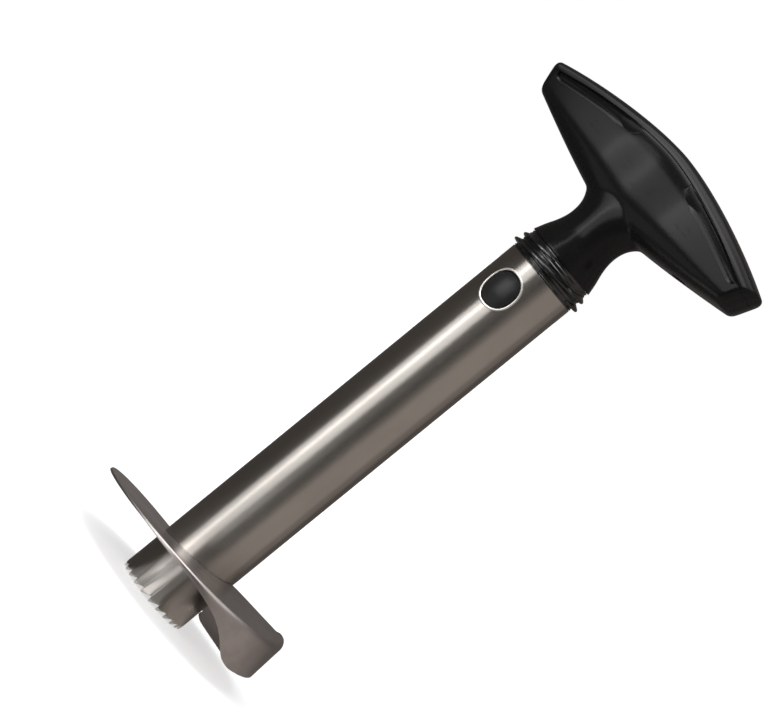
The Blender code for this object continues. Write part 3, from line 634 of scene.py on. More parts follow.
def new_geometry_tree(fill, sizes):
    """A tree that takes a mesh and the named sizes, and gives back what fill makes of them as
    one welded mesh in its material."""
    tree = bpy.data.node_groups.new(fill.__name__, "GeometryNodeTree")
    tree.interface.new_socket("Geometry", in_out="INPUT", socket_type="NodeSocketGeometry")
    for label, size in sizes.items():
        tree.interface.new_socket(label, in_out="INPUT", socket_type=SOCKET_KINDS[type(size)])
    tree.interface.new_socket("Geometry", in_out="OUTPUT", socket_type="NodeSocketGeometry")
    given = tree.nodes.new("NodeGroupInput").outputs
    real = add_node(tree, "GeometryNodeRealizeInstances", {"Geometry": fill(tree, given)})
    welded = add_node(tree, "GeometryNodeMergeByDistance", {
        "Geometry": real, "Distance": given["Weld distance"]})
    dressed = add_node(tree, "GeometryNodeSetMaterial", {
        "Geometry": welded, "Material": given["Material"]})
    add_node(tree, "NodeGroupOutput", {"Geometry": dressed})
    return tree


def run_tree(thing, piece, fill, sizes):
    """Run a geometry tree on an object with the named sizes, and keep the mesh it makes."""
    name = fill.__name__
    sizes = {**sizes, "Weld distance": MERGE_DISTANCE, "Material": material_of(piece)}
    nodes = thing.modifiers.new(name, "NODES")
    nodes.node_group = bpy.data.node_groups.get(name) or new_geometry_tree(fill, sizes)
    for item in nodes.node_group.interface.items_tree:
        if item.name in sizes:
            nodes[item.identifier] = sizes[item.name]
    flatten(thing)
    return face_outwards(thing)


def wind(name, piece, strip, pitch=0.0, bearing=0.0, copies=1, capped=True):
    """Wind rings of (radius, turn, height) points round Z into one closed mesh."""
    return run_tree(skin(name, strip, capped, capped), piece, wind_strip, {
        "Pitch": pitch, "Bearing": bearing, "Copies": copies})


def sweep(name, piece, path, radius, closed=False):
    """Sweep a round wire along a run of points."""
    edges = [(step, step + 1) for step in range(len(path) - 1)]
    if closed:
        edges.append((len(path) - 1, 0))
    return run_tree(mesh_object(name, path, (), edges), piece, sweep_wire, {
        "Radius": radius, "Points round": WIRE_POINTS})


# Materials

GRAIN_DETAIL = 3.0
FINE_GRAIN_DETAIL = 2.0
GRAIN_ROUGHNESS = 0.6
# Values of a grain between which it changes the roughness and the colour
ROUGHNESS_SPAN = (0.2, 0.8)
COLOUR_SPAN = (0.35, 0.65)
# Pointiness of an edge where its painted highlight and wear begin, and where they are full
EDGE_WEAR_AND_HIGHLIGHT_SPAN = (0.53, 0.6)
PLASTIC_PIT = 0.3 * mm
PLASTIC_PIT_DEPTH = 0.006 * mm
PLASTIC_PIT_LIGHTER = 1.15
# How far the pits take the roughness below and above a plastic's own
PLASTIC_ROUGHNESS_SPREAD = (-0.03, 0.04)


def new_material(name, colour, metallic, roughness, **sockets):
    """A material with one Principled shader, whose even values sit on its own sockets."""
    material = bpy.data.materials.new(name)
    material.use_nodes = True
    tree = material.node_tree
    shader = tree.nodes["Principled BSDF"]
    set_inputs(tree, shader, {
        "Base Color": (*colour, 1), "Metallic": metallic, "Roughness": roughness,
        **{socket.replace("_", " "): value for socket, value in sockets.items()}})
    return material, tree, shader


def grain(tree, spacing, stretch=(1, 1, 1), detail=GRAIN_DETAIL):
    """Noise on Object coordinates whose features are about one spacing across."""
    where = add_node(tree, "ShaderNodeTexCoord").outputs["Object"]
    scaled = add_node(tree, "ShaderNodeMapping", {
        "Vector": where, "Scale": tuple(1 / (spacing * side) for side in stretch)})
    return add_node(tree, "ShaderNodeTexNoise", {
        "Vector": scaled, "Scale": 1.0, "Detail": detail, "Roughness": GRAIN_ROUGHNESS})


def vary_roughness(tree, shader, pattern, low, high):
    """Run the roughness from low to high while the pattern crosses its span."""
    spread = add_node(tree, "ShaderNodeMapRange", {
        "Value": pattern, "From Min": ROUGHNESS_SPAN[0], "From Max": ROUGHNESS_SPAN[1],
        "To Min": low, "To Max": high}, interpolation_type="SMOOTHSTEP")
    set_inputs(tree, shader, {"Roughness": spread})


def vary_colour(
        tree, shader, pattern, colour, lighter, start=None, span=COLOUR_SPAN,
        curve="SMOOTHSTEP"):
    """Run the base colour to a lighter or darker one while the pattern crosses its span, and
    give back the mix. It starts from the colour itself, or from an earlier mix."""
    factor = add_node(tree, "ShaderNodeMapRange", {
        "Value": pattern, "From Min": span[0], "From Max": span[1]}, interpolation_type=curve)
    mixed = add_node(tree, "ShaderNodeMix", {
        "Factor": factor, "A": start or (*colour, 1),
        "B": (*(min(1.0, part * lighter) for part in colour), 1)},
        data_type="RGBA").outputs["Result"]
    set_inputs(tree, shader, {"Base Color": mixed})
    return mixed


def brushed_tube_steel(colours):
    """Stainless tube, polished on a turning belt: fine rings round it, which draw each light
    out along the tube. The real lines are about 0.05 mm apart and are drawn at 0.25 mm."""
    material, tree, shader = new_material(
        "Stainless tube, belt brushed", colours.tube_steel, metallic=1.0, roughness=0.33,
        Anisotropic=0.85, Anisotropic_Rotation=0.25)
    rings = grain(tree, 0.25 * mm, stretch=(24, 24, 1), detail=FINE_GRAIN_DETAIL)
    handling = grain(tree, 14 * mm, stretch=(1, 1, 2.2))
    vary_roughness(tree, shader, rings, low=0.31, high=0.36)
    vary_colour(tree, shader, handling, colours.tube_steel, lighter=0.93)
    set_inputs(tree, shader, {
        "Tangent": add_node(tree, "ShaderNodeTangent", direction_type="RADIAL", axis="Z"),
        "Normal": add_node(tree, "ShaderNodeBump", {"Height": rings, "Distance": 0.0008 * mm})})
    return material


def rolled_blade_steel(colours):
    """Cold-rolled stainless sheet, tumbled after forming: an even satin with faint cloudy
    marks from the tumbling and fine scratches along the cut. The scratches are about 0.1 mm
    apart and are drawn at 0.3 mm."""
    material, tree, shader = new_material(
        "Stainless sheet, tumbled", colours.blade_steel, metallic=1.0, roughness=0.33)
    clouds = grain(tree, 7 * mm)
    scratches = grain(tree, 0.3 * mm, stretch=(9, 9, 1), detail=FINE_GRAIN_DETAIL)
    vary_roughness(tree, shader, clouds, low=0.29, high=0.38)
    vary_colour(tree, shader, clouds, colours.blade_steel, lighter=0.9)
    set_inputs(tree, shader, {"Normal": add_node(tree, "ShaderNodeBump", {
        "Height": scratches, "Distance": 0.003 * mm})})
    return material


def plain_steel(name, colour, roughness, spacing, low, high, lighter=1.0):
    """Small steel parts, whose roughness and colour drift over one spacing."""
    material, tree, shader = new_material(name, colour, 1.0, roughness)
    clouds = grain(tree, spacing)
    vary_roughness(tree, shader, clouds, low, high)
    if lighter != 1.0:
        vary_colour(tree, shader, clouds, colour, lighter)
    return material


def moulded_plastic(name, colour, roughness, specular, edge_wear_and_highlight=0.0):
    """Black plastic from an eroded mould: a satin skin with a very fine pitting of about
    0.1 mm, drawn three times coarser. Where it is asked for, sharp edges are painted lighter:
    a painted highlight along them, and partly rubbing wear."""
    material, tree, shader = new_material(
        name, colour, 0.0, roughness, IOR=1.5, Specular_IOR_Level=specular)
    pits = grain(tree, PLASTIC_PIT, detail=FINE_GRAIN_DETAIL)
    low, high = (roughness + step for step in PLASTIC_ROUGHNESS_SPREAD)
    vary_roughness(tree, shader, pits, low, high)
    pitted = vary_colour(tree, shader, pits, colour, PLASTIC_PIT_LIGHTER)
    # Sharp edges painted lighter: a painted highlight, and partly rubbing wear
    if edge_wear_and_highlight:
        edge = add_node(tree, "ShaderNodeNewGeometry").outputs["Pointiness"]
        vary_colour(tree, shader, edge, colour, edge_wear_and_highlight, pitted, EDGE_WEAR_AND_HIGHLIGHT_SPAN, "LINEAR")
    set_inputs(tree, shader, {"Normal": add_node(tree, "ShaderNodeBump", {
        "Height": pits, "Distance": PLASTIC_PIT_DEPTH})})
    return material


def make_materials(colours):
    """Every material of the tool, by its kind of piece."""
    return {
        "tube": brushed_tube_steel(colours),
        "blade": rolled_blade_steel(colours),
        # The window's edge, rolled and burnished, which shows as a light line
        "rim": plain_steel(
            "Stainless edge, burnished", colours.rim_steel, roughness=0.4, spacing=1.2 * mm,
            low=0.36, high=0.46),
        # Zinc plate over rolled steel: pale, with a soft bloom
        "screw": plain_steel(
            "Steel screw, zinc plated", colours.screw_steel, roughness=0.36, spacing=1.5 * mm,
            low=0.3, high=0.45, lighter=0.85),
        # Hard-drawn wire: grey, with a shine that drifts along the turns
        "spring": plain_steel(
            "Spring wire, hard drawn", colours.spring_steel, roughness=0.3, spacing=0.4 * mm,
            low=0.25, high=0.38),
        # Deep black with a low sheen, as satin ABS has
        "grip": moulded_plastic(
            "Black ABS, moulded satin", colours.grip_plastic, roughness=0.2, specular=0.15),
        # The shiniest of the plastics. The edges of its thread are painted lighter: a painted
        # highlight along the crests, and partly rubbing wear
        "plug": moulded_plastic(
            "Black nylon, moulded", colours.plug_plastic, roughness=0.16, specular=0.8, edge_wear_and_highlight=2.0),
        # A duller and slightly paler black than the grip's
        "button": moulded_plastic(
            "Black acetal, moulded", colours.button_plastic, roughness=0.3, specular=0.22),
    }


def material_of(piece):
    """The material of a kind of piece. All are made at the first call."""
    scene = bpy.context.scene
    if "slicer_materials" not in scene:
        made = make_materials(scene.slicer_colours)
        scene["slicer_materials"] = {kind: material.name for kind, material in made.items()}
    return bpy.data.materials[scene["slicer_materials"][piece]]


# Coring tube

def tooth_strip(sizes):
    """Wall of the tube over one tooth, as rings of (radius, turn, height) points."""
    inner = TUBE_RADIUS - TUBE_WALL
    strip = []
    for along, depth in (*TOOTH_SHARES, (1.0, 0.0)):
        turn = tau / sizes.tooth_count * along
        foot = sizes.tooth_depth * depth
        ground = foot + TOOTH_GRIND_HEIGHT
        rows = [(TUBE_RADIUS, turn, between(ground, TUBE_LENGTH, s)) for s in TUBE_ROW_SHARES]
        strip.append([
            (TUBE_RADIUS - TOOTH_GRIND, turn, foot), (TUBE_RADIUS, turn, ground), *rows,
            (TUBE_RADIUS, turn, TUBE_LENGTH - TUBE_EDGE),
            (TUBE_RADIUS - TUBE_EDGE, turn, TUBE_LENGTH),
            (inner + TUBE_EDGE, turn, TUBE_LENGTH), (inner, turn, TUBE_LENGTH - TUBE_EDGE),
            (inner, turn, foot)])
    return strip


def window_cutter():
    """Oval bar that cuts both windows in one go."""
    reach = TUBE_RADIUS + OVERRUN
    return loft("window_cutter", [
        window_ring(WINDOW_WIDTH / 2, WINDOW_HEIGHT / 2, y) for y in (-reach, reach)])


def make_core_tube(sizes):
    tube = wind("toothed_tube", "tube", tooth_strip(sizes), copies=sizes.tooth_count, capped=False)
    settle(cut(tube, window_cutter()), "tube", "core_tube")
    for name, facing in FRONT_AND_REAR:
        half_width = WINDOW_WIDTH / 2 + sizes.rim_radius * RIM_SPREAD_SHARE
        half_height = WINDOW_HEIGHT / 2 + sizes.rim_radius * RIM_SPREAD_SHARE
        seat = TUBE_RADIUS - sizes.rim_radius * RIM_SINK_SHARE
        path = [
            (x, -facing * sqrt(seat ** 2 - x ** 2), z)
            for x, _, z in window_ring(half_width, half_height, 0)]
        rim = sweep(f"window_rim_{name}", "rim", path, sizes.rim_radius, closed=True)
        settle(rim, "rim", sharp=None)


# Slicing blade

def blade_height(turn):
    return BLADE_START_HEIGHT + BLADE_PITCH * turn / tau


def blade_rim(turn):
    """Rim radius, which draws in a little where the paring wall is tall."""
    drawn = (turn - BLADE_DRAW_IN_TURN) / (BLADE_TURN - BLADE_DRAW_IN_TURN)
    return BLADE_RADIUS - eased(0, BLADE_DRAW_IN, drawn)


def sheet_section(inner, rim, top, drop, gauge, bend, flare):
    """Radius and height round the sheet: flat, bent down at the rim, and thin at the foot."""
    inside_bend = max(bend - gauge, LEAST_INSIDE_BEND)
    straight = drop - max(bend, gauge + inside_bend)
    knife = min(PARING_KNIFE_HEIGHT, straight * PARING_KNIFE_LIMIT_SHARE)
    middle_reach = between(inner, rim - bend, 0.5)
    outside = [(inner, top), (middle_reach, top)]
    inside = [(inner, top - gauge), (middle_reach, top - gauge)]
    for sine, cosine in quarter_arc(BLADE_BEND_STEPS):
        across, down = 1 - sine, 1 - cosine
        outside.append((rim - bend * across, top - bend * down))
        inside.append((rim - gauge - inside_bend * across, top - gauge - inside_bend * down))
    foot = top - drop
    knife_top = foot + knife
    outside += [(rim, (outside[-1][1] + knife_top) / 2), (rim, knife_top), (rim, foot)]
    inside += [
        (rim - gauge, (inside[-1][1] + knife_top) / 2), (rim - gauge, knife_top),
        (rim - gauge * BLADE_KNIFE_SHARE, foot)]
    return [
        (radius + flare * (top - height), height) for radius, height in outside + inside[::-1]]


def blade_strip(sizes):
    """The blade's sheet unrolled, with the paring wall hanging from its rim."""
    strip = []
    full_drop = BLADE_PITCH + BLADE_GAUGE + PARING_SKIRT
    count = round(PARING_END_TURN / BLADE_STEP)
    for step in range(count + 1):
        turn = PARING_END_TURN * step / count
        thinned = between(BLADE_KNIFE_SHARE, 1.0, min(1.0, turn / BLADE_KNIFE_TURN))
        gauge = sizes.blade_gauge * thinned
        top = blade_height(turn) + BLADE_GAUGE / 2
        past_tail = (turn - BLADE_TURN) / (PARING_END_TURN - BLADE_TURN)
        lowered = full_drop * (1 - eased(1.0, PARING_END_SHARE, past_tail))
        drop = full_drop * from_table(PARING_SHARES, degrees(turn))[0] - lowered
        top -= lowered
        drop = max(drop, gauge + BLADE_LIP)
        bend = min(BLADE_BEND, drop * BLADE_BEND_LIMIT_SHARE)

        clear_of_wall = (turn - (PARING_END_TURN - tau)) / BLADE_KNIFE_TURN
        flare = (BLADE_RADIUS - blade_rim(turn)) / full_drop
        rim = blade_rim(turn) + flare * lowered
        rim -= eased(BLADE_GAUGE + FIT_GAP, 0, clear_of_wall)
        throat = max(0.0, 1 - turn / THROAT_TURN)
        tail = max(0.0, (turn - BLADE_TURN + TAIL_TURN) / TAIL_TURN)
        inner = TUBE_RADIUS + FIT_GAP + THROAT_REACH * throat ** 2
        inner = between(inner, rim - bend - BLADE_LIP, min(1.0, tail ** 2))
        rise = BLADE_PITCH * turn / tau
        section = sheet_section(inner, rim, top, drop, gauge, bend, flare)
        strip.append([(radius, turn, height - rise) for radius, height in section])
    return strip


def make_blade(sizes):
    blade = wind("helical_blade", "blade", blade_strip(sizes), BLADE_PITCH, BLADE_LEAD_BEARING)
    settle(blade, "blade", "slicing_blade")
    for index, turn in enumerate(WELD_TURNS):
        reach = blade_rim(turn) - BLADE_GAUGE / 2
        start = reach - BLADE_GAUGE * 2 - FIT_GAP
        weld = rod(f"spot_weld_{index}", BLADE_GAUGE * WELD_SHARE, start, reach)
        place(weld, (0, pi / 2, BLADE_LEAD_BEARING + turn), (0, 0, blade_height(turn)))
        settle(weld, "blade")


# Plug with its threaded collar

def thread_strip(sizes):
    """One fin of the collar's thread: (radius, turn, height) rings that fade at both ends."""
    strip = []
    count = round(THREAD_TURN / THREAD_STEP)
    for step in range(count + 1):
        turn = THREAD_TURN * step / count
        share = turn / THREAD_TURN
        middle = collar_base + THREAD_LIFT
        climbed = THREAD_LIFT + thread_lead * turn / tau
        root = between(collar_radius, collar_top_radius, climbed / COLLAR_HEIGHT)
        strength = eased(0, 1, min(turn, THREAD_TURN - turn) / THREAD_FADE_TURN)
        tip = between(
            collar_radius + sizes.thread_depth, collar_top_radius + THREAD_END_DEPTH, share)
        crest = between(root + FIT_GAP / 2, tip, strength)
        inner = root - THREAD_CREST_THICKNESS / 2
        half_root = between(THREAD_CREST_THICKNESS, THREAD_ROOT_THICKNESS, strength) / 2
        low = middle - THREAD_DROOP * strength - THREAD_CREST_THICKNESS / 2
        high = low + THREAD_CREST_THICKNESS
        edge = THREAD_CREST_EDGE
        strip.append([
            (inner, turn, middle - half_root), (crest - edge, turn, low),
            (crest, turn, low + edge), (crest, turn, high - edge), (crest - edge, turn, high),
            (inner, turn, middle + half_root)])
    return strip


def make_spigot(sizes):
    step_top = neck_base - COLLAR_STEP_GAP
    step_low = TUBE_LENGTH + COLLAR_STEP_GAP
    high_step = collar_top_radius - COLLAR_STEP_INSET
    low_step = TUBE_RADIUS - COLLAR_STEP_INSET
    outline = [
        (0, step_top), (high_step, step_top), (high_step, collar_top),
        (collar_top_radius, collar_top)]
    count = COLLAR_RIBS * COLLAR_RIB_STEPS
    for step in range(1, count + 1):
        fall = step / count
        radius = between(collar_top_radius, collar_radius, fall)
        furrow = COLLAR_RIB_DEPTH * (1 - cos(tau * step / COLLAR_RIB_STEPS)) / 2
        outline.append((radius - furrow, collar_top - COLLAR_HEIGHT * fall))
    outline += [
        (low_step, collar_base), (low_step, step_low), (plug_radius, step_low),
        (plug_radius, plug_end + PLUG_EDGE), (plug_radius - PLUG_EDGE, plug_end),
        (0, plug_end)]
    spigot = turned("plug_and_collar", outline)
    key_size = (KEY_WIDTH, KEY_DEPTH, KEY_HEIGHT + COLLAR_HEIGHT / 2)
    key_centre = (0, 0, collar_top + KEY_HEIGHT - key_size[2] / 2)
    fuse(spigot, block("key", key_size, key_centre, edge=PLUG_EDGE))

    floor = plug_end - OVERRUN
    pocket = block(
        "button_pocket", (pocket_half_width * 2, pocket_reach * 2, pocket_top - floor),
        (0, 0, (pocket_top + floor) / 2))
    pilot = rod(
        "centre_pilot", CENTRE_SCREW.radius + FIT_GAP, neck_floor_top - CENTRE_SCREW.length,
        socket_top)
    cap_pilots = both_sides(cap_screw_offset, lambda: rod(
        "cap_pilot", CAP_SCREW.radius + FIT_GAP, floor,
        plug_end + CAP_SCREW.length - CAP_THICKNESS / 2 + FIT_GAP))
    cut(spigot, pocket, window_cutter(), pilot, *cap_pilots)
    settle(spigot, "plug", "spigot")
    thread = wind(
        "collar_thread", "plug", thread_strip(sizes), thread_lead, THREAD_BEARING,
        THREAD_STARTS)
    settle(thread, "plug")
    dress_node("spigot_end_cap", "plug")


def dress_node(node, piece):
    """Give a CAD node that keeps its own shape one of the tool's materials."""
    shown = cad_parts[node]
    if not shown.material_slots:
        raise RuntimeError(f"{node} has no material slot")
    for slot in shown.material_slots:
        slot.link = "OBJECT"
        slot.material = material_of(piece)


# Buttons and springs

def make_button(side, facing):
    """Domed oval button with a stop flange behind, bored from the back for its spring."""
    half_width = WINDOW_WIDTH / 2 - FIT_GAP
    half_height = WINDOW_HEIGHT / 2 - FIT_GAP
    lip = BUTTON_FLANGE_LIP
    bore = SPRING_RADIUS + SPRING_WIRE_RADIUS + FIT_GAP
    dome_base = button_apex - BUTTON_CROWN
    rings = [
        window_ring(MERGE_DISTANCE, MERGE_DISTANCE, button_apex - BUTTON_FACE_THICKNESS),
        window_ring(bore, bore, button_apex - BUTTON_FACE_THICKNESS),
        window_ring(bore, bore, flange_back),
        window_ring(half_width + lip, half_height + lip, flange_back),
        window_ring(half_width + lip, half_height + lip, flange_face),
        window_ring(half_width, half_height, flange_face)]
    for _, share in quarter_arc(BUTTON_CROWN_STEPS):
        rise = BUTTON_CROWN * (1 - share ** BUTTON_CROWN_POWER)
        share = max(share, MERGE_DISTANCE / half_width)
        rings.append(window_ring(half_width * share, half_height * share, dome_base + rise))
    button = loft(f"button_{side}", rings)
    if facing < 0:
        place(button, (0, 0, pi))
    settle(button, "button", f"release_button_{side}", body=f"{side}_button")


def make_spring(side, facing, turns):
    """Coil from the web to its button's bore, with a dead turn at each end."""
    steps = turns * SPRING_STEPS_PER_TURN
    live_pitch = (spring_end - spring_start - 2 * SPRING_DEAD_PITCH) / (turns - 2)
    path = []
    reach = spring_start
    for step in range(steps + 1):
        angle = tau * step / SPRING_STEPS_PER_TURN
        path.append((
            SPRING_RADIUS * cos(angle), -reach, window_height + SPRING_RADIUS * sin(angle)))
        dead = min(step, steps - 1 - step) < SPRING_STEPS_PER_TURN
        reach += (SPRING_DEAD_PITCH if dead else live_pitch) / SPRING_STEPS_PER_TURN
    spring = sweep(f"spring_{side}", "spring", path, SPRING_WIRE_RADIUS)
    if facing < 0:
        place(spring, (0, 0, pi))
    settle(spring, "spring", f"button_spring_{side}", sharp=None)
    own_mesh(spring)


# Grip

def half_width_at(x):
    """Half the grip's width: it swells from the hub to each lobe, then narrows to the tip."""
    share = abs(x) / GRIP_HALF_SPAN
    swell = eased(GRIP_HUB_WIDTH_SHARE, 1.0, share / GRIP_WIDEST_SHARE)
    past_lobe = max(0.0, share - GRIP_WIDEST_SHARE) / (1 - GRIP_WIDEST_SHARE)
    narrowing = past_lobe ** GRIP_NARROWING_POWER
    return GRIP_HALF_WIDTH * (swell - (1 - GRIP_TIP_WIDTH_SHARE) * narrowing)


def seam_at(x):
    return crown_at(x) - SEAM_DROP


def squareness_at(x):
    """Squareness of the grip's section at x, below its middle and above it."""
    towards_tip = (abs(x) / GRIP_HALF_SPAN) ** 2
    return (
        between(GRIP_SQUARENESS, GRIP_TIP_SQUARENESS, towards_tip),
        between(GRIP_SQUARENESS, GRIP_TIP_CROWN_SQUARENESS, towards_tip))


def grip_section(x, inset):
    """Ring round the grip at x, leaning outwards near the tip, drawn in all round by inset."""
    top = crown_at(x) - inset
    under = underside_at(x) + inset
    middle = (top + under) / 2
    towards_tip = (abs(x) / GRIP_HALF_SPAN) ** 2
    lean = GRIP_END_SLANT * towards_tip * abs(x) / GRIP_HALF_SPAN
    half_width = half_width_at(x) - inset
    low_squareness, high_squareness = squareness_at(x)
    ring = []
    for step in range(GRIP_RING_POINTS):
        angle = tau * step / GRIP_RING_POINTS
        power = 2 / (low_squareness if sin(angle) < 0 else high_squareness)
        y = half_width * powered(cos(angle), power)
        up = (top - under) / 2 * powered(sin(angle), power)
        bulge = GRIP_END_BULGE * towards_tip ** 2 * (y / half_width_at(x)) ** 2
        ring.append((x + lean * up - bulge, y, middle + up))
    return ring


def grip_envelope(name, inset, stations=GRIP_STATIONS):
    """The outer form of the whole grip for inset 0, or its hollow for a wall's inset."""
    tip_lean = (crown_at(GRIP_HALF_SPAN) - underside_at(GRIP_HALF_SPAN)) / 2 * GRIP_END_SLANT
    tip = GRIP_HALF_SPAN - tip_lean - inset
    rings = [grip_section((tip - GRIP_END_ROUND) * s / stations, inset) for s in range(stations)]
    for sine, cosine in quarter_arc(GRIP_END_STEPS):
        rings.append(grip_section(
            tip - GRIP_END_ROUND * (1 - sine), inset + GRIP_END_ROUND * (1 - cosine)))
    narrowest = (crown_at(tip) - underside_at(tip)) / 2 - TUBE_EDGE
    for step in range(1, GRIP_FACE_STEPS + 1):
        drawn_in = between(inset + GRIP_END_ROUND, narrowest, step / GRIP_FACE_STEPS)
        rings.append(grip_section(tip, drawn_in))
    return mirror_x(loft(name, rings, start_cap=False))


def face_at(x, level):
    """Distance of the grip's side from its middle plane, at x and at a height."""
    middle = (crown_at(x) + underside_at(x)) / 2
    rise = min(1.0, abs(level - middle) / (crown_at(x) - middle))
    squareness = squareness_at(x)[0 if level < middle else 1]
    return half_width_at(x) * (1 - rise ** squareness) ** (1 / squareness)


def seam_block(name, low_side, gap, edge):
    """Block that takes away all of the grip on one side of the seam under the top cover, and
    rounds the edge that it leaves."""
    far = GRIP_HALF_SPAN + OVERRUN
    limit = neck_base - OVERRUN if low_side else crown_height + OVERRUN
    into = 1 if low_side else -1
    rings = []
    for step in range(GRIP_STATIONS + 1):
        x = far * step / GRIP_STATIONS
        level = seam_at(x) + gap
        face = face_at(min(x, GRIP_HALF_SPAN), level)
        half = [
            (face - edge + edge * sine, level + into * edge * (1 - cosine))
            for sine, cosine in quarter_arc(SEAM_EDGE_STEPS)]
        half.append((face + OVERRUN, half[-1][1]))
        half.append((face + OVERRUN, limit))
        rings.append([(x, y, z) for y, z in half] + [(x, -y, z) for y, z in reversed(half)])
    return mirror_x(loft(name, rings, start_cap=False))


def groove_cutter(name, facing, wing, depth):
    """Recess under the cover's edge that leaves a raised pad on the wing: it deepens from the
    hub, where it reaches low, and both of its ends are round. Its lower lip slopes."""
    rings = []
    for step in range(GROOVE_STEPS + 1):
        x = between(GROOVE_START, GROOVE_END, step / GROOVE_STEPS)
        top = seam_at(x)
        drop = from_table(GROOVE_DROPS, x / mm)[0] * mm
        into_end = max(0.0, x - (GROOVE_END - drop), GROOVE_START + drop - x) / drop
        drop *= sqrt(max(1 - into_end ** 2, GROOVE_LEAST_DROP))
        faded = eased(GROOVE_START_SHARE, 1.0, (x - GROOVE_START) / GROOVE_FADE)
        here = depth * faded
        lip = min(between(GROOVE_SOFT_LIP, GROOVE_LIP, faded), drop / 2)
        ring = [(face_at(x, top) + OVERRUN, top + OVERRUN)]
        for back_step in range(GROOVE_BACK_STEPS + 1):
            level = top - (drop - lip) * back_step / GROOVE_BACK_STEPS
            height = top + OVERRUN if back_step == 0 else level
            ring.append((face_at(x, level) - here, height))
        for _, cosine in quarter_arc(GROOVE_LIP_STEPS)[1:]:
            level = top - drop + lip * cosine
            ring.append((face_at(x, level) - here * cosine, level))
        ring.append((face_at(x, level) + OVERRUN, level))
        rings.append([(wing * x, facing * reach, height) for reach, height in ring])
    return loft(name, rings)


def make_neck():
    """Cone that narrows from the collar, then flares into the underside of both wings."""
    rings = []
    for step in range(NECK_STEPS + 1):
        share = step / NECK_STEPS
        wide, deep = from_table(NECK_SHARES, share)
        outline = superellipse(neck_radius * wide, neck_radius * deep, 2, ROUND_STEPS)
        rings.append([(x, y, neck_base + neck_height * share) for x, y in outline])
    return loft("neck", rings)


def soften(thing, voxel, passes):
    """Remesh a cut shape evenly, and round its edges as a mould's are."""
    remesh = thing.modifiers.new("Even skin", "REMESH")
    remesh.mode = "VOXEL"
    remesh.voxel_size = voxel
    smooth = thing.modifiers.new("Moulded edges", "SMOOTH")
    smooth.iterations = passes
    return flatten(thing)


def smooth_by_weight(thing, name, passes, weight_at):
    """Smooth a shape more or less, by a weight that follows the place."""
    group = thing.vertex_groups.new(name=name)
    for point in thing.data.vertices:
        weight = weight_at(*point.co)
        if weight > 0:
            group.add([point.index], weight, "REPLACE")
    smooth = thing.modifiers.new(name, "SMOOTH")
    smooth.iterations = passes
    smooth.vertex_group = group.name
    return flatten(thing)


def neck_crease(x, _, z):
    """Weight of the crease where the neck runs into the wings, which a fillet fills."""
    if z <= neck_base + NECK_SOFTENING_REACH:
        return 0
    wide = from_table(NECK_SHARES, (z - neck_base) / neck_height)[0] * neck_radius
    off_crease = hypot(max(0.0, z - hub_under - NECK_SINK), max(0.0, hub_under - z))
    return eased(1, 0, max(off_crease, abs(x) - wide) / NECK_SOFTENING_REACH)


def hub_face(x, y, _):
    """Weight of the hub's two broad faces, where the even skin leaves faint dimples."""
    flatness = (abs(y) / half_width_at(x) - HUB_FACE_START) / HUB_FACE_BLEND
    return eased(0, 1, flatness) * eased(1, 0, (abs(x) - GROOVE_START) / HUB_FACE_FADE)


def body_hollow():
    """What is taken out of the grip body: its inside, less the two screw bosses."""
    hollow = grip_envelope("body_hollow", GRIP_WALL, HOLLOW_STATIONS)
    return cut(hollow, *both_sides(
        COVER_SCREW_OFFSET, lambda: rod("body_boss", BODY_BOSS_RADIUS, hub_under, boss_top)))


def make_grip_body(sizes):
    body = fuse(grip_envelope("grip_shell", 0), make_neck())
    soften(body, GRIP_VOXEL, GRIP_SOFTENING)
    smooth_by_weight(body, "Neck fillet", NECK_SOFTENING, neck_crease)
    smooth_by_weight(body, "Hub faces", HUB_FACE_SOFTENING, hub_face)
    tools = [seam_block("above_seam", False, 0, SEAM_EDGE), body_hollow()]
    hole = COVER_SCREW.radius + FIT_GAP
    bore = COVER_SCREW.head_radius + FIT_GAP
    low = cover_screw_seat - COVER_SCREW_DEPTH - OVERRUN
    high = boss_top + OVERRUN
    tools += both_sides(COVER_SCREW_OFFSET, lambda: turned("cover_counterbore", (
        (0, high), (hole, high), (hole, cover_screw_seat), (bore, cover_screw_seat),
        (bore, low), (0, low)), SMALL_ROUND_STEPS))
    socket = (KEY_WIDTH + FIT_GAP * 2, KEY_DEPTH + FIT_GAP * 2, KEY_HEIGHT + FIT_GAP + OVERRUN)
    tools.append(block("key_socket", socket, (0, 0, socket_top - socket[2] / 2)))
    centre_hole = CENTRE_SCREW.radius + FIT_GAP
    well_top = hub_under + GRIP_WALL + OVERRUN
    tools.append(turned("neck_well", (
        (0, well_top), (NECK_WELL_RADIUS, well_top), (NECK_WELL_RADIUS, neck_floor_top),
        (centre_hole, neck_floor_top), (centre_hole, socket_top - OVERRUN),
        (0, socket_top - OVERRUN)), SMALL_ROUND_STEPS))
    for facing in (-1, 1):
        for wing in (-1, 1):
            tools.append(groove_cutter(
                f"groove_{facing}_{wing}", facing, wing, sizes.groove_depth))
    settle(cut(body, *tools), "grip", "grip_body")
    tongue = cut(
        grip_envelope("seam_tongue", TONGUE_OUTSET),
        seam_block("above_tongue", False, SEAM_GAP - TONGUE_GAP, TONGUE_EDGE),
        seam_block("below_tongue", True, -TONGUE_DEPTH, TONGUE_EDGE),
        grip_envelope("tongue_hollow", TONGUE_OUTSET + TONGUE_THICKNESS))
    settle(tongue, "grip")


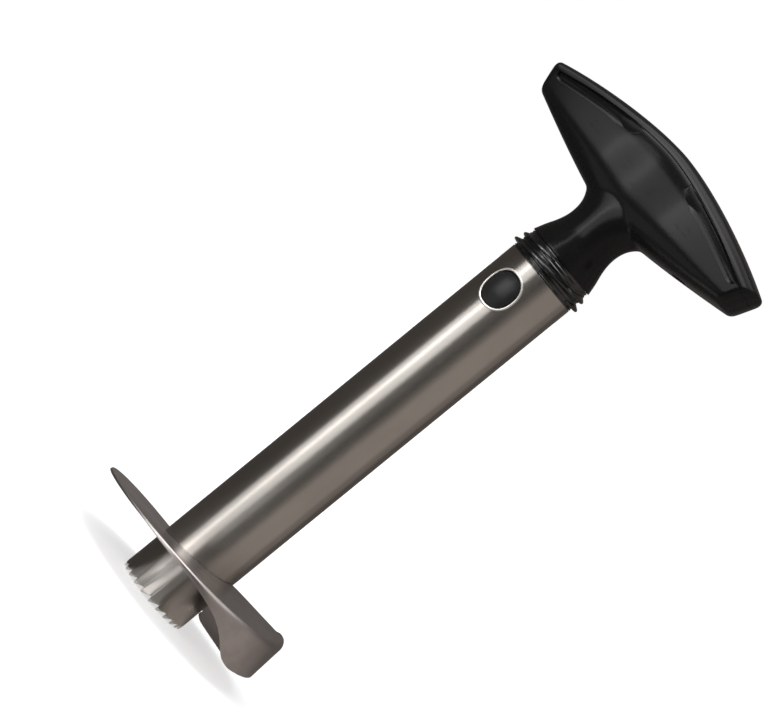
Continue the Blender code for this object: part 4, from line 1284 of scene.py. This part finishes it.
def make_top_cover():
    cover = cut(
        grip_envelope("cover_shell", 0), seam_block("below_seam", True, SEAM_GAP, COVER_EDGE),
        grip_envelope("cover_hollow", GRIP_WALL, HOLLOW_STATIONS))
    foot = boss_top + FIT_GAP
    top = cover_crown - GRIP_WALL / 2
    hole = COVER_SCREW.radius + FIT_GAP
    hole_top = cover_screw_seat + COVER_SCREW.length + FIT_GAP
    fuse(cover, *both_sides(COVER_SCREW_OFFSET, lambda: turned("cover_boss", (
        (0, top), (COVER_BOSS_RADIUS, top), (COVER_BOSS_RADIUS, foot), (hole, foot),
        (hole, hole_top), (0, hole_top)), SMALL_ROUND_STEPS)))
    settle(cover, "grip", "grip_top_cover")


# Screws

def screw_thread(name, screw):
    """A V ridge wound on a screw's shank, fading at both ends."""
    root = screw.radius * SCREW_ROOT_SHARE
    pitch = screw.radius * SCREW_PITCH_SHARE
    turns = (screw.length - screw.radius - pitch * 2) / pitch
    count = round(turns * SCREW_STEPS_PER_TURN)
    low = screw.radius - screw.length + pitch / 2
    strip = []
    for step in range(count + 1):
        turn = tau * turns * step / count
        crest = between(root, screw.radius, min(1.0, turn / pi, (tau * turns - turn) / pi))
        strip.append([
            (root - pitch * RIDGE_SINK_SHARE, turn, low - pitch / 2),
            (crest, turn, low - pitch * RIDGE_CREST_SHARE),
            (crest, turn, low + pitch * RIDGE_CREST_SHARE),
            (root - pitch * RIDGE_SINK_SHARE, turn, low + pitch / 2)])
    return wind(name, "screw", strip, pitch)


def make_screw(name, screw, seat, head_up=False):
    """Pan-head screw with a cross recess and a wound thread."""
    root = screw.radius * SCREW_ROOT_SHARE
    outline = [(0, screw.head_height)]
    for sine, cosine in quarter_arc(SCREW_CROWN_STEPS):
        outline.append((
            screw.head_radius * between(SCREW_CROWN_SHARE, 1, sine),
            screw.head_height * between(SCREW_RIM_SHARE, 1, cosine)))
    outline += [
        (screw.head_radius, 0), (screw.radius, 0), (root, -screw.radius / 2),
        (root, screw.radius - screw.length), (0, -screw.length)]
    body = turned(f"{name}_body", outline, SMALL_ROUND_STEPS)
    depth = screw.head_height * RECESS_DEPTH_SHARE
    sides = (screw.head_radius * RECESS_LENGTH_SHARE, screw.head_radius * RECESS_WIDTH_SHARE)
    cut(body, *(
        block("slot", (*size, depth + OVERRUN), (0, 0, screw.head_height + (OVERRUN - depth) / 2))
        for size in (sides, sides[::-1])))
    thread = screw_thread(f"{name}_thread", screw)
    for piece in (body, thread):
        place(piece, (0 if head_up else pi, 0, 0), seat)
    settle(body, "screw", name)
    settle(thread, "screw")


def make_screws():
    washer_top = neck_floor_top + FIT_GAP + WASHER_THICKNESS
    make_screw("centre_screw", CENTRE_SCREW, (0, 0, washer_top + FIT_GAP), head_up=True)
    cap_seat = plug_end - CAP_THICKNESS + CAP_SCREW.head_height
    for name, side in (("left", -1), ("right", 1)):
        make_screw(f"cap_screw_{name}", CAP_SCREW, (side * cap_screw_offset, 0, cap_seat))
        make_screw(
            f"cover_screw_{name}", COVER_SCREW,
            (side * COVER_SCREW_OFFSET, 0, cover_screw_seat - FIT_GAP))
    dress_node("centre_washer", "screw")


# Studio

CAMERA_DISTANCE = 1.325
CAMERA_HEIGHT = 0.1879
CAMERA_LENS = 178
CAMERA_AIM_ACROSS = -0.011
CAMERA_AIM_HEIGHT = 0.1149
CAMERA_BEARING = (0.4067, -0.9135)
CAMERA_ROLL = (0.633, 0.774)
FLOOR_RADIUS = 12.0
FLOOR_SHADE = 0.6
FLOOR_SHADE_REACH = 0.2
FLOOR_WHITE_REACH = 0.6
LAMP_DISTANCE = 1.1
# Name, turn to the right of the camera in degrees, elevation, width, height, watts
LAMPS = (
    ("Left strip", -45, 14, 0.1, 1.3, 2.0),
    ("Left softbox", -40, 8, 0.84, 0.8, 5.0),
    ("Front softbox", -40, 72, 0.9, 0.5, 4.0),
    ("Overhead softbox", -105, 64, 0.9, 0.9, 3.0),
)
CARD_LIFT = 0.001
CARD_REACH = 1.5
CARD_HEIGHT = 2.2
CAMERA_CARD_REACH = 1.9
FOOT_CARD_REACH = 0.14
LOW_CARD_START = 0.16
LOW_CARD_REACH = 0.5
# Sections of the cards, from the tool outwards and up
APRON = ((TUBE_RADIUS + FIT_GAP, CARD_LIFT), (CARD_REACH, CARD_LIFT))
WALL = (*APRON, (CARD_REACH, CARD_HEIGHT))
CAMERA_WALL = (
    (FOOT_CARD_REACH, CARD_LIFT), (CAMERA_CARD_REACH, CARD_LIFT),
    (CAMERA_CARD_REACH, CARD_HEIGHT))
FOOT_APRON = (APRON[0], (FOOT_CARD_REACH, CARD_LIFT))
LOW_APRON = ((LOW_CARD_START, CARD_LIFT * 2), (LOW_CARD_REACH, CARD_LIFT * 2))
WARM_WHITE = "#fff4ec"
WHITE = "#ffffff"
# Name, turns in degrees to the right of the camera where it starts and ends, section, and the
# brightness and colour it glows with, which only reflections show: painted reflections
CARDS = (
    ("Left card", -160, -60, WALL, 0.08, WARM_WHITE),
    ("Camera card", -60, 18, CAMERA_WALL, 0.05, WARM_WHITE),
    ("Low card", -64, -24, LOW_APRON, 0.7, WHITE),
    ("Foot card, left", -60, -16, FOOT_APRON, 0.3, WHITE),
    ("Foot card, bright", -16, -2, FOOT_APRON, 1.8, WHITE),
    ("Foot card, right", -2, 18, FOOT_APRON, 0.4, WHITE),
    ("Right card, dark end", 18, 27, WALL, 0.14, WARM_WHITE),
    ("Right card, middle", 27, 38, WALL, 0.27, WARM_WHITE),
    ("Right card", 38, 100, WALL, 0.42, WARM_WHITE),
    ("Right card, far end", 100, 124, WALL, 0.27, WARM_WHITE),
    ("Back card", 124, 200, WALL, 0.12, WARM_WHITE),
)
CARD_STEPS = 24
camera_turn = atan2(CAMERA_BEARING[1], CAMERA_BEARING[0])
ROOM_GREY = "#8c8c8c"
FLOOR_ROUGHNESS = 0.9


def from_camera(turn, elevation, distance):
    """A place round the tool's middle, turned to the right of the camera's bearing."""
    bearing = camera_turn + radians(turn)
    flat = cos(radians(elevation)) * distance
    height = crown_height / 2 + sin(radians(elevation)) * distance
    return Vector((flat * cos(bearing), flat * sin(bearing), height))


def make_camera():
    ahead = Vector((-CAMERA_BEARING[0], -CAMERA_BEARING[1], 0)).normalized()
    across = Vector((-CAMERA_BEARING[1], CAMERA_BEARING[0], 0)).normalized()
    spot = Vector((0, 0, CAMERA_HEIGHT)) - ahead * CAMERA_DISTANCE
    aim = across * CAMERA_AIM_ACROSS + Vector((0, 0, CAMERA_AIM_HEIGHT))
    forward = (aim - spot).normalized()
    level = forward.cross(Vector((0, 0, 1))).normalized()
    upright = level.cross(forward)
    roll = Vector(CAMERA_ROLL).normalized()
    right = level * roll.x + upright * roll.y
    up = upright * roll.x - level * roll.y
    data = bpy.data.cameras.new("Camera")
    data.lens = CAMERA_LENS
    camera = bpy.data.objects.new("Camera", data)
    camera.matrix_world = (
        Matrix.Translation(spot) @ Matrix((right, up, -forward)).transposed().to_4x4())
    bpy.context.scene.collection.objects.link(camera)
    bpy.context.scene.camera = camera


def make_lamps():
    target = Vector((0, 0, crown_height / 2))
    for name, turn, elevation, width, height, watts in LAMPS:
        data = bpy.data.lights.new(name, "AREA")
        data.shape = "RECTANGLE"
        data.size = width
        data.size_y = height
        data.energy = watts
        lamp = bpy.data.objects.new(name, data)
        lamp.location = from_camera(turn, elevation, LAMP_DISTANCE)
        lamp.rotation_euler = (target - lamp.location).to_track_quat("-Z", "Y").to_euler()
        bpy.context.scene.collection.objects.link(lamp)


def make_cards():
    """Curved cards and aprons on the floor, which the camera doesn't see. They glow, and the
    steel and the black plastic reflect them in place of the white paper: painted highlights and
    painted dark reflections."""
    for name, start, end, section, strength, colour in CARDS:
        points, faces = [], []
        for step in range(CARD_STEPS + 1):
            bearing = camera_turn + radians(between(start, end, step / CARD_STEPS))
            points += [(reach * cos(bearing), reach * sin(bearing), z) for reach, z in section]
        for step in range(CARD_STEPS):
            for row in range(len(section) - 1):
                here = step * len(section) + row
                there = here + len(section)
                faces.append((here, there, there + 1, here + 1))
        card = mesh_object(name, points, faces)
        # Each card glows at its own brightness: a painted reflection, not a lit board
        material = bpy.data.materials.new(f"{name}, glowing reflection card")
        material.use_nodes = True
        tree = material.node_tree
        set_inputs(tree, tree.nodes["Material Output"], {
            "Surface": add_node(tree, "ShaderNodeEmission", {
                "Color": (*linear(colour), 1), "Strength": strength})})
        card.data.materials.append(material)
        card.visible_camera = False
        card.visible_diffuse = False
        card.visible_shadow = False


def seen_directly(tree):
    """1 for camera, glossy and transmission rays, which see the white background."""
    path = add_node(tree, "ShaderNodeLightPath").outputs
    either = add_node(tree, "ShaderNodeMath", {
        0: path["Is Camera Ray"], 1: path["Is Transmission Ray"]}, operation="MAXIMUM")
    return add_node(
        tree, "ShaderNodeMath", {0: either, 1: path["Is Glossy Ray"]}, operation="MAXIMUM")


def make_floor(colour):
    """A pale floor that reads white to the eye but still takes the tool's soft shadow."""
    floor = rod("studio_floor", FLOOR_RADIUS, -OVERRUN, 0)
    material, tree, shader = new_material(
        "Paper sweep, matt white", colour, 0.0, FLOOR_ROUGHNESS, Specular_IOR_Level=0.0)
    where = add_node(tree, "ShaderNodeTexCoord").outputs["Object"]
    distance = add_node(
        tree, "ShaderNodeVectorMath", {0: where}, operation="LENGTH").outputs["Value"]
    white = add_node(tree, "ShaderNodeMapRange", {
        "Value": distance, "From Min": FLOOR_SHADE_REACH, "From Max": FLOOR_WHITE_REACH,
        "To Min": FLOOR_SHADE}, interpolation_type="SMOOTHSTEP")
    strength = add_node(
        tree, "ShaderNodeMath", {0: seen_directly(tree), 1: white}, operation="MULTIPLY")
    glow = add_node(tree, "ShaderNodeEmission", {"Color": (1, 1, 1, 1), "Strength": strength})
    set_inputs(tree, tree.nodes["Material Output"], {
        "Surface": add_node(tree, "ShaderNodeAddShader", {0: shader, 1: glow})})
    floor.data.materials.append(material)


def make_world():
    """White where it is seen directly, and an even grey room for the light it gives."""
    world = bpy.data.worlds.new("Studio")
    bpy.context.scene.world = world
    world.use_nodes = True
    tree = world.node_tree
    room = tree.nodes["Background"]
    set_inputs(tree, room, {"Color": (*linear(ROOM_GREY), 1), "Strength": 1.0})
    white = add_node(tree, "ShaderNodeBackground", {"Color": (1, 1, 1, 1), "Strength": 1.0})
    set_inputs(tree, tree.nodes["World Output"], {
        "Surface": add_node(tree, "ShaderNodeMixShader", {
            0: seen_directly(tree), 1: room, 2: white})})


# Add-on

class SLICER_OT_core_tube(bpy.types.Operator):
    """Build the toothed tube with its two button windows"""
    bl_idname = "slicer.core_tube"
    bl_label = "Coring Tube"

    def execute(self, context):
        make_core_tube(context.scene.slicer_sizes)
        return {"FINISHED"}


class SLICER_OT_blade(bpy.types.Operator):
    """Wind the slicing blade round the tube"""
    bl_idname = "slicer.blade"
    bl_label = "Slicing Blade"

    def execute(self, context):
        make_blade(context.scene.slicer_sizes)
        return {"FINISHED"}


class SLICER_OT_spigot(bpy.types.Operator):
    """Build the plug, its threaded collar and its end cap"""
    bl_idname = "slicer.spigot"
    bl_label = "Plug and Collar"

    def execute(self, context):
        make_spigot(context.scene.slicer_sizes)
        return {"FINISHED"}


class SLICER_OT_buttons(bpy.types.Operator):
    """Build both release buttons and their springs"""
    bl_idname = "slicer.buttons"
    bl_label = "Buttons and Springs"

    def execute(self, context):
        for side, facing in FRONT_AND_REAR:
            make_button(side, facing)
            make_spring(side, facing, context.scene.slicer_sizes.spring_turns)
        return {"FINISHED"}


class SLICER_OT_grip(bpy.types.Operator):
    """Build the neck and T-grip"""
    bl_idname = "slicer.grip"
    bl_label = "Grip"

    def execute(self, context):
        make_grip_body(context.scene.slicer_sizes)
        return {"FINISHED"}


class SLICER_OT_top_cover(bpy.types.Operator):
    """Build the cover that closes the top of the grip"""
    bl_idname = "slicer.top_cover"
    bl_label = "Top Cover"

    def execute(self, context):
        make_top_cover()
        return {"FINISHED"}


class SLICER_OT_screws(bpy.types.Operator):
    """Build the five screws"""
    bl_idname = "slicer.screws"
    bl_label = "Screws"

    def execute(self, context):
        make_screws()
        return {"FINISHED"}


class SLICER_OT_stage(bpy.types.Operator):
    """Set up the camera, the lamps, the cards, the floor and the room"""
    bl_idname = "slicer.stage"
    bl_label = "Studio"

    def execute(self, context):
        make_camera()
        make_lamps()
        make_cards()
        make_floor(context.scene.slicer_colours.floor)
        make_world()
        context.scene.view_settings.view_transform = "Standard"
        return {"FINISHED"}


OPERATORS = (
    SLICER_OT_core_tube, SLICER_OT_blade, SLICER_OT_spigot, SLICER_OT_buttons, SLICER_OT_grip,
    SLICER_OT_top_cover, SLICER_OT_screws, SLICER_OT_stage)


class SLICER_PT_build(bpy.types.Panel):
    """Lists the sizes, the colours and the pieces"""
    bl_idname = "SLICER_PT_build"
    bl_label = "Pineapple Slicer"
    bl_space_type = "VIEW_3D"
    bl_region_type = "UI"
    bl_category = "Slicer"

    def draw(self, context):
        for settings in (context.scene.slicer_sizes, context.scene.slicer_colours):
            column = self.layout.column(align=True)
            for name in settings.bl_rna.properties.keys():
                if name not in {"rna_type", "name"}:
                    column.prop(settings, name)
        for operator in OPERATORS:
            self.layout.operator(operator.bl_idname)


CLASSES = (SlicerSizes, SlicerColours, *OPERATORS, SLICER_PT_build)


def register():
    for item in CLASSES:
        bpy.utils.register_class(item)
    bpy.types.Scene.slicer_sizes = PointerProperty(type=SlicerSizes)
    bpy.types.Scene.slicer_colours = PointerProperty(type=SlicerColours)


def unregister():
    del bpy.types.Scene.slicer_colours
    del bpy.types.Scene.slicer_sizes
    for item in reversed(CLASSES):
        bpy.utils.unregister_class(item)


def main():
    register()
    for operator in OPERATORS:
        getattr(bpy.ops.slicer, operator.bl_idname.split(".")[1])()


if __name__ == "__main__":
    main()
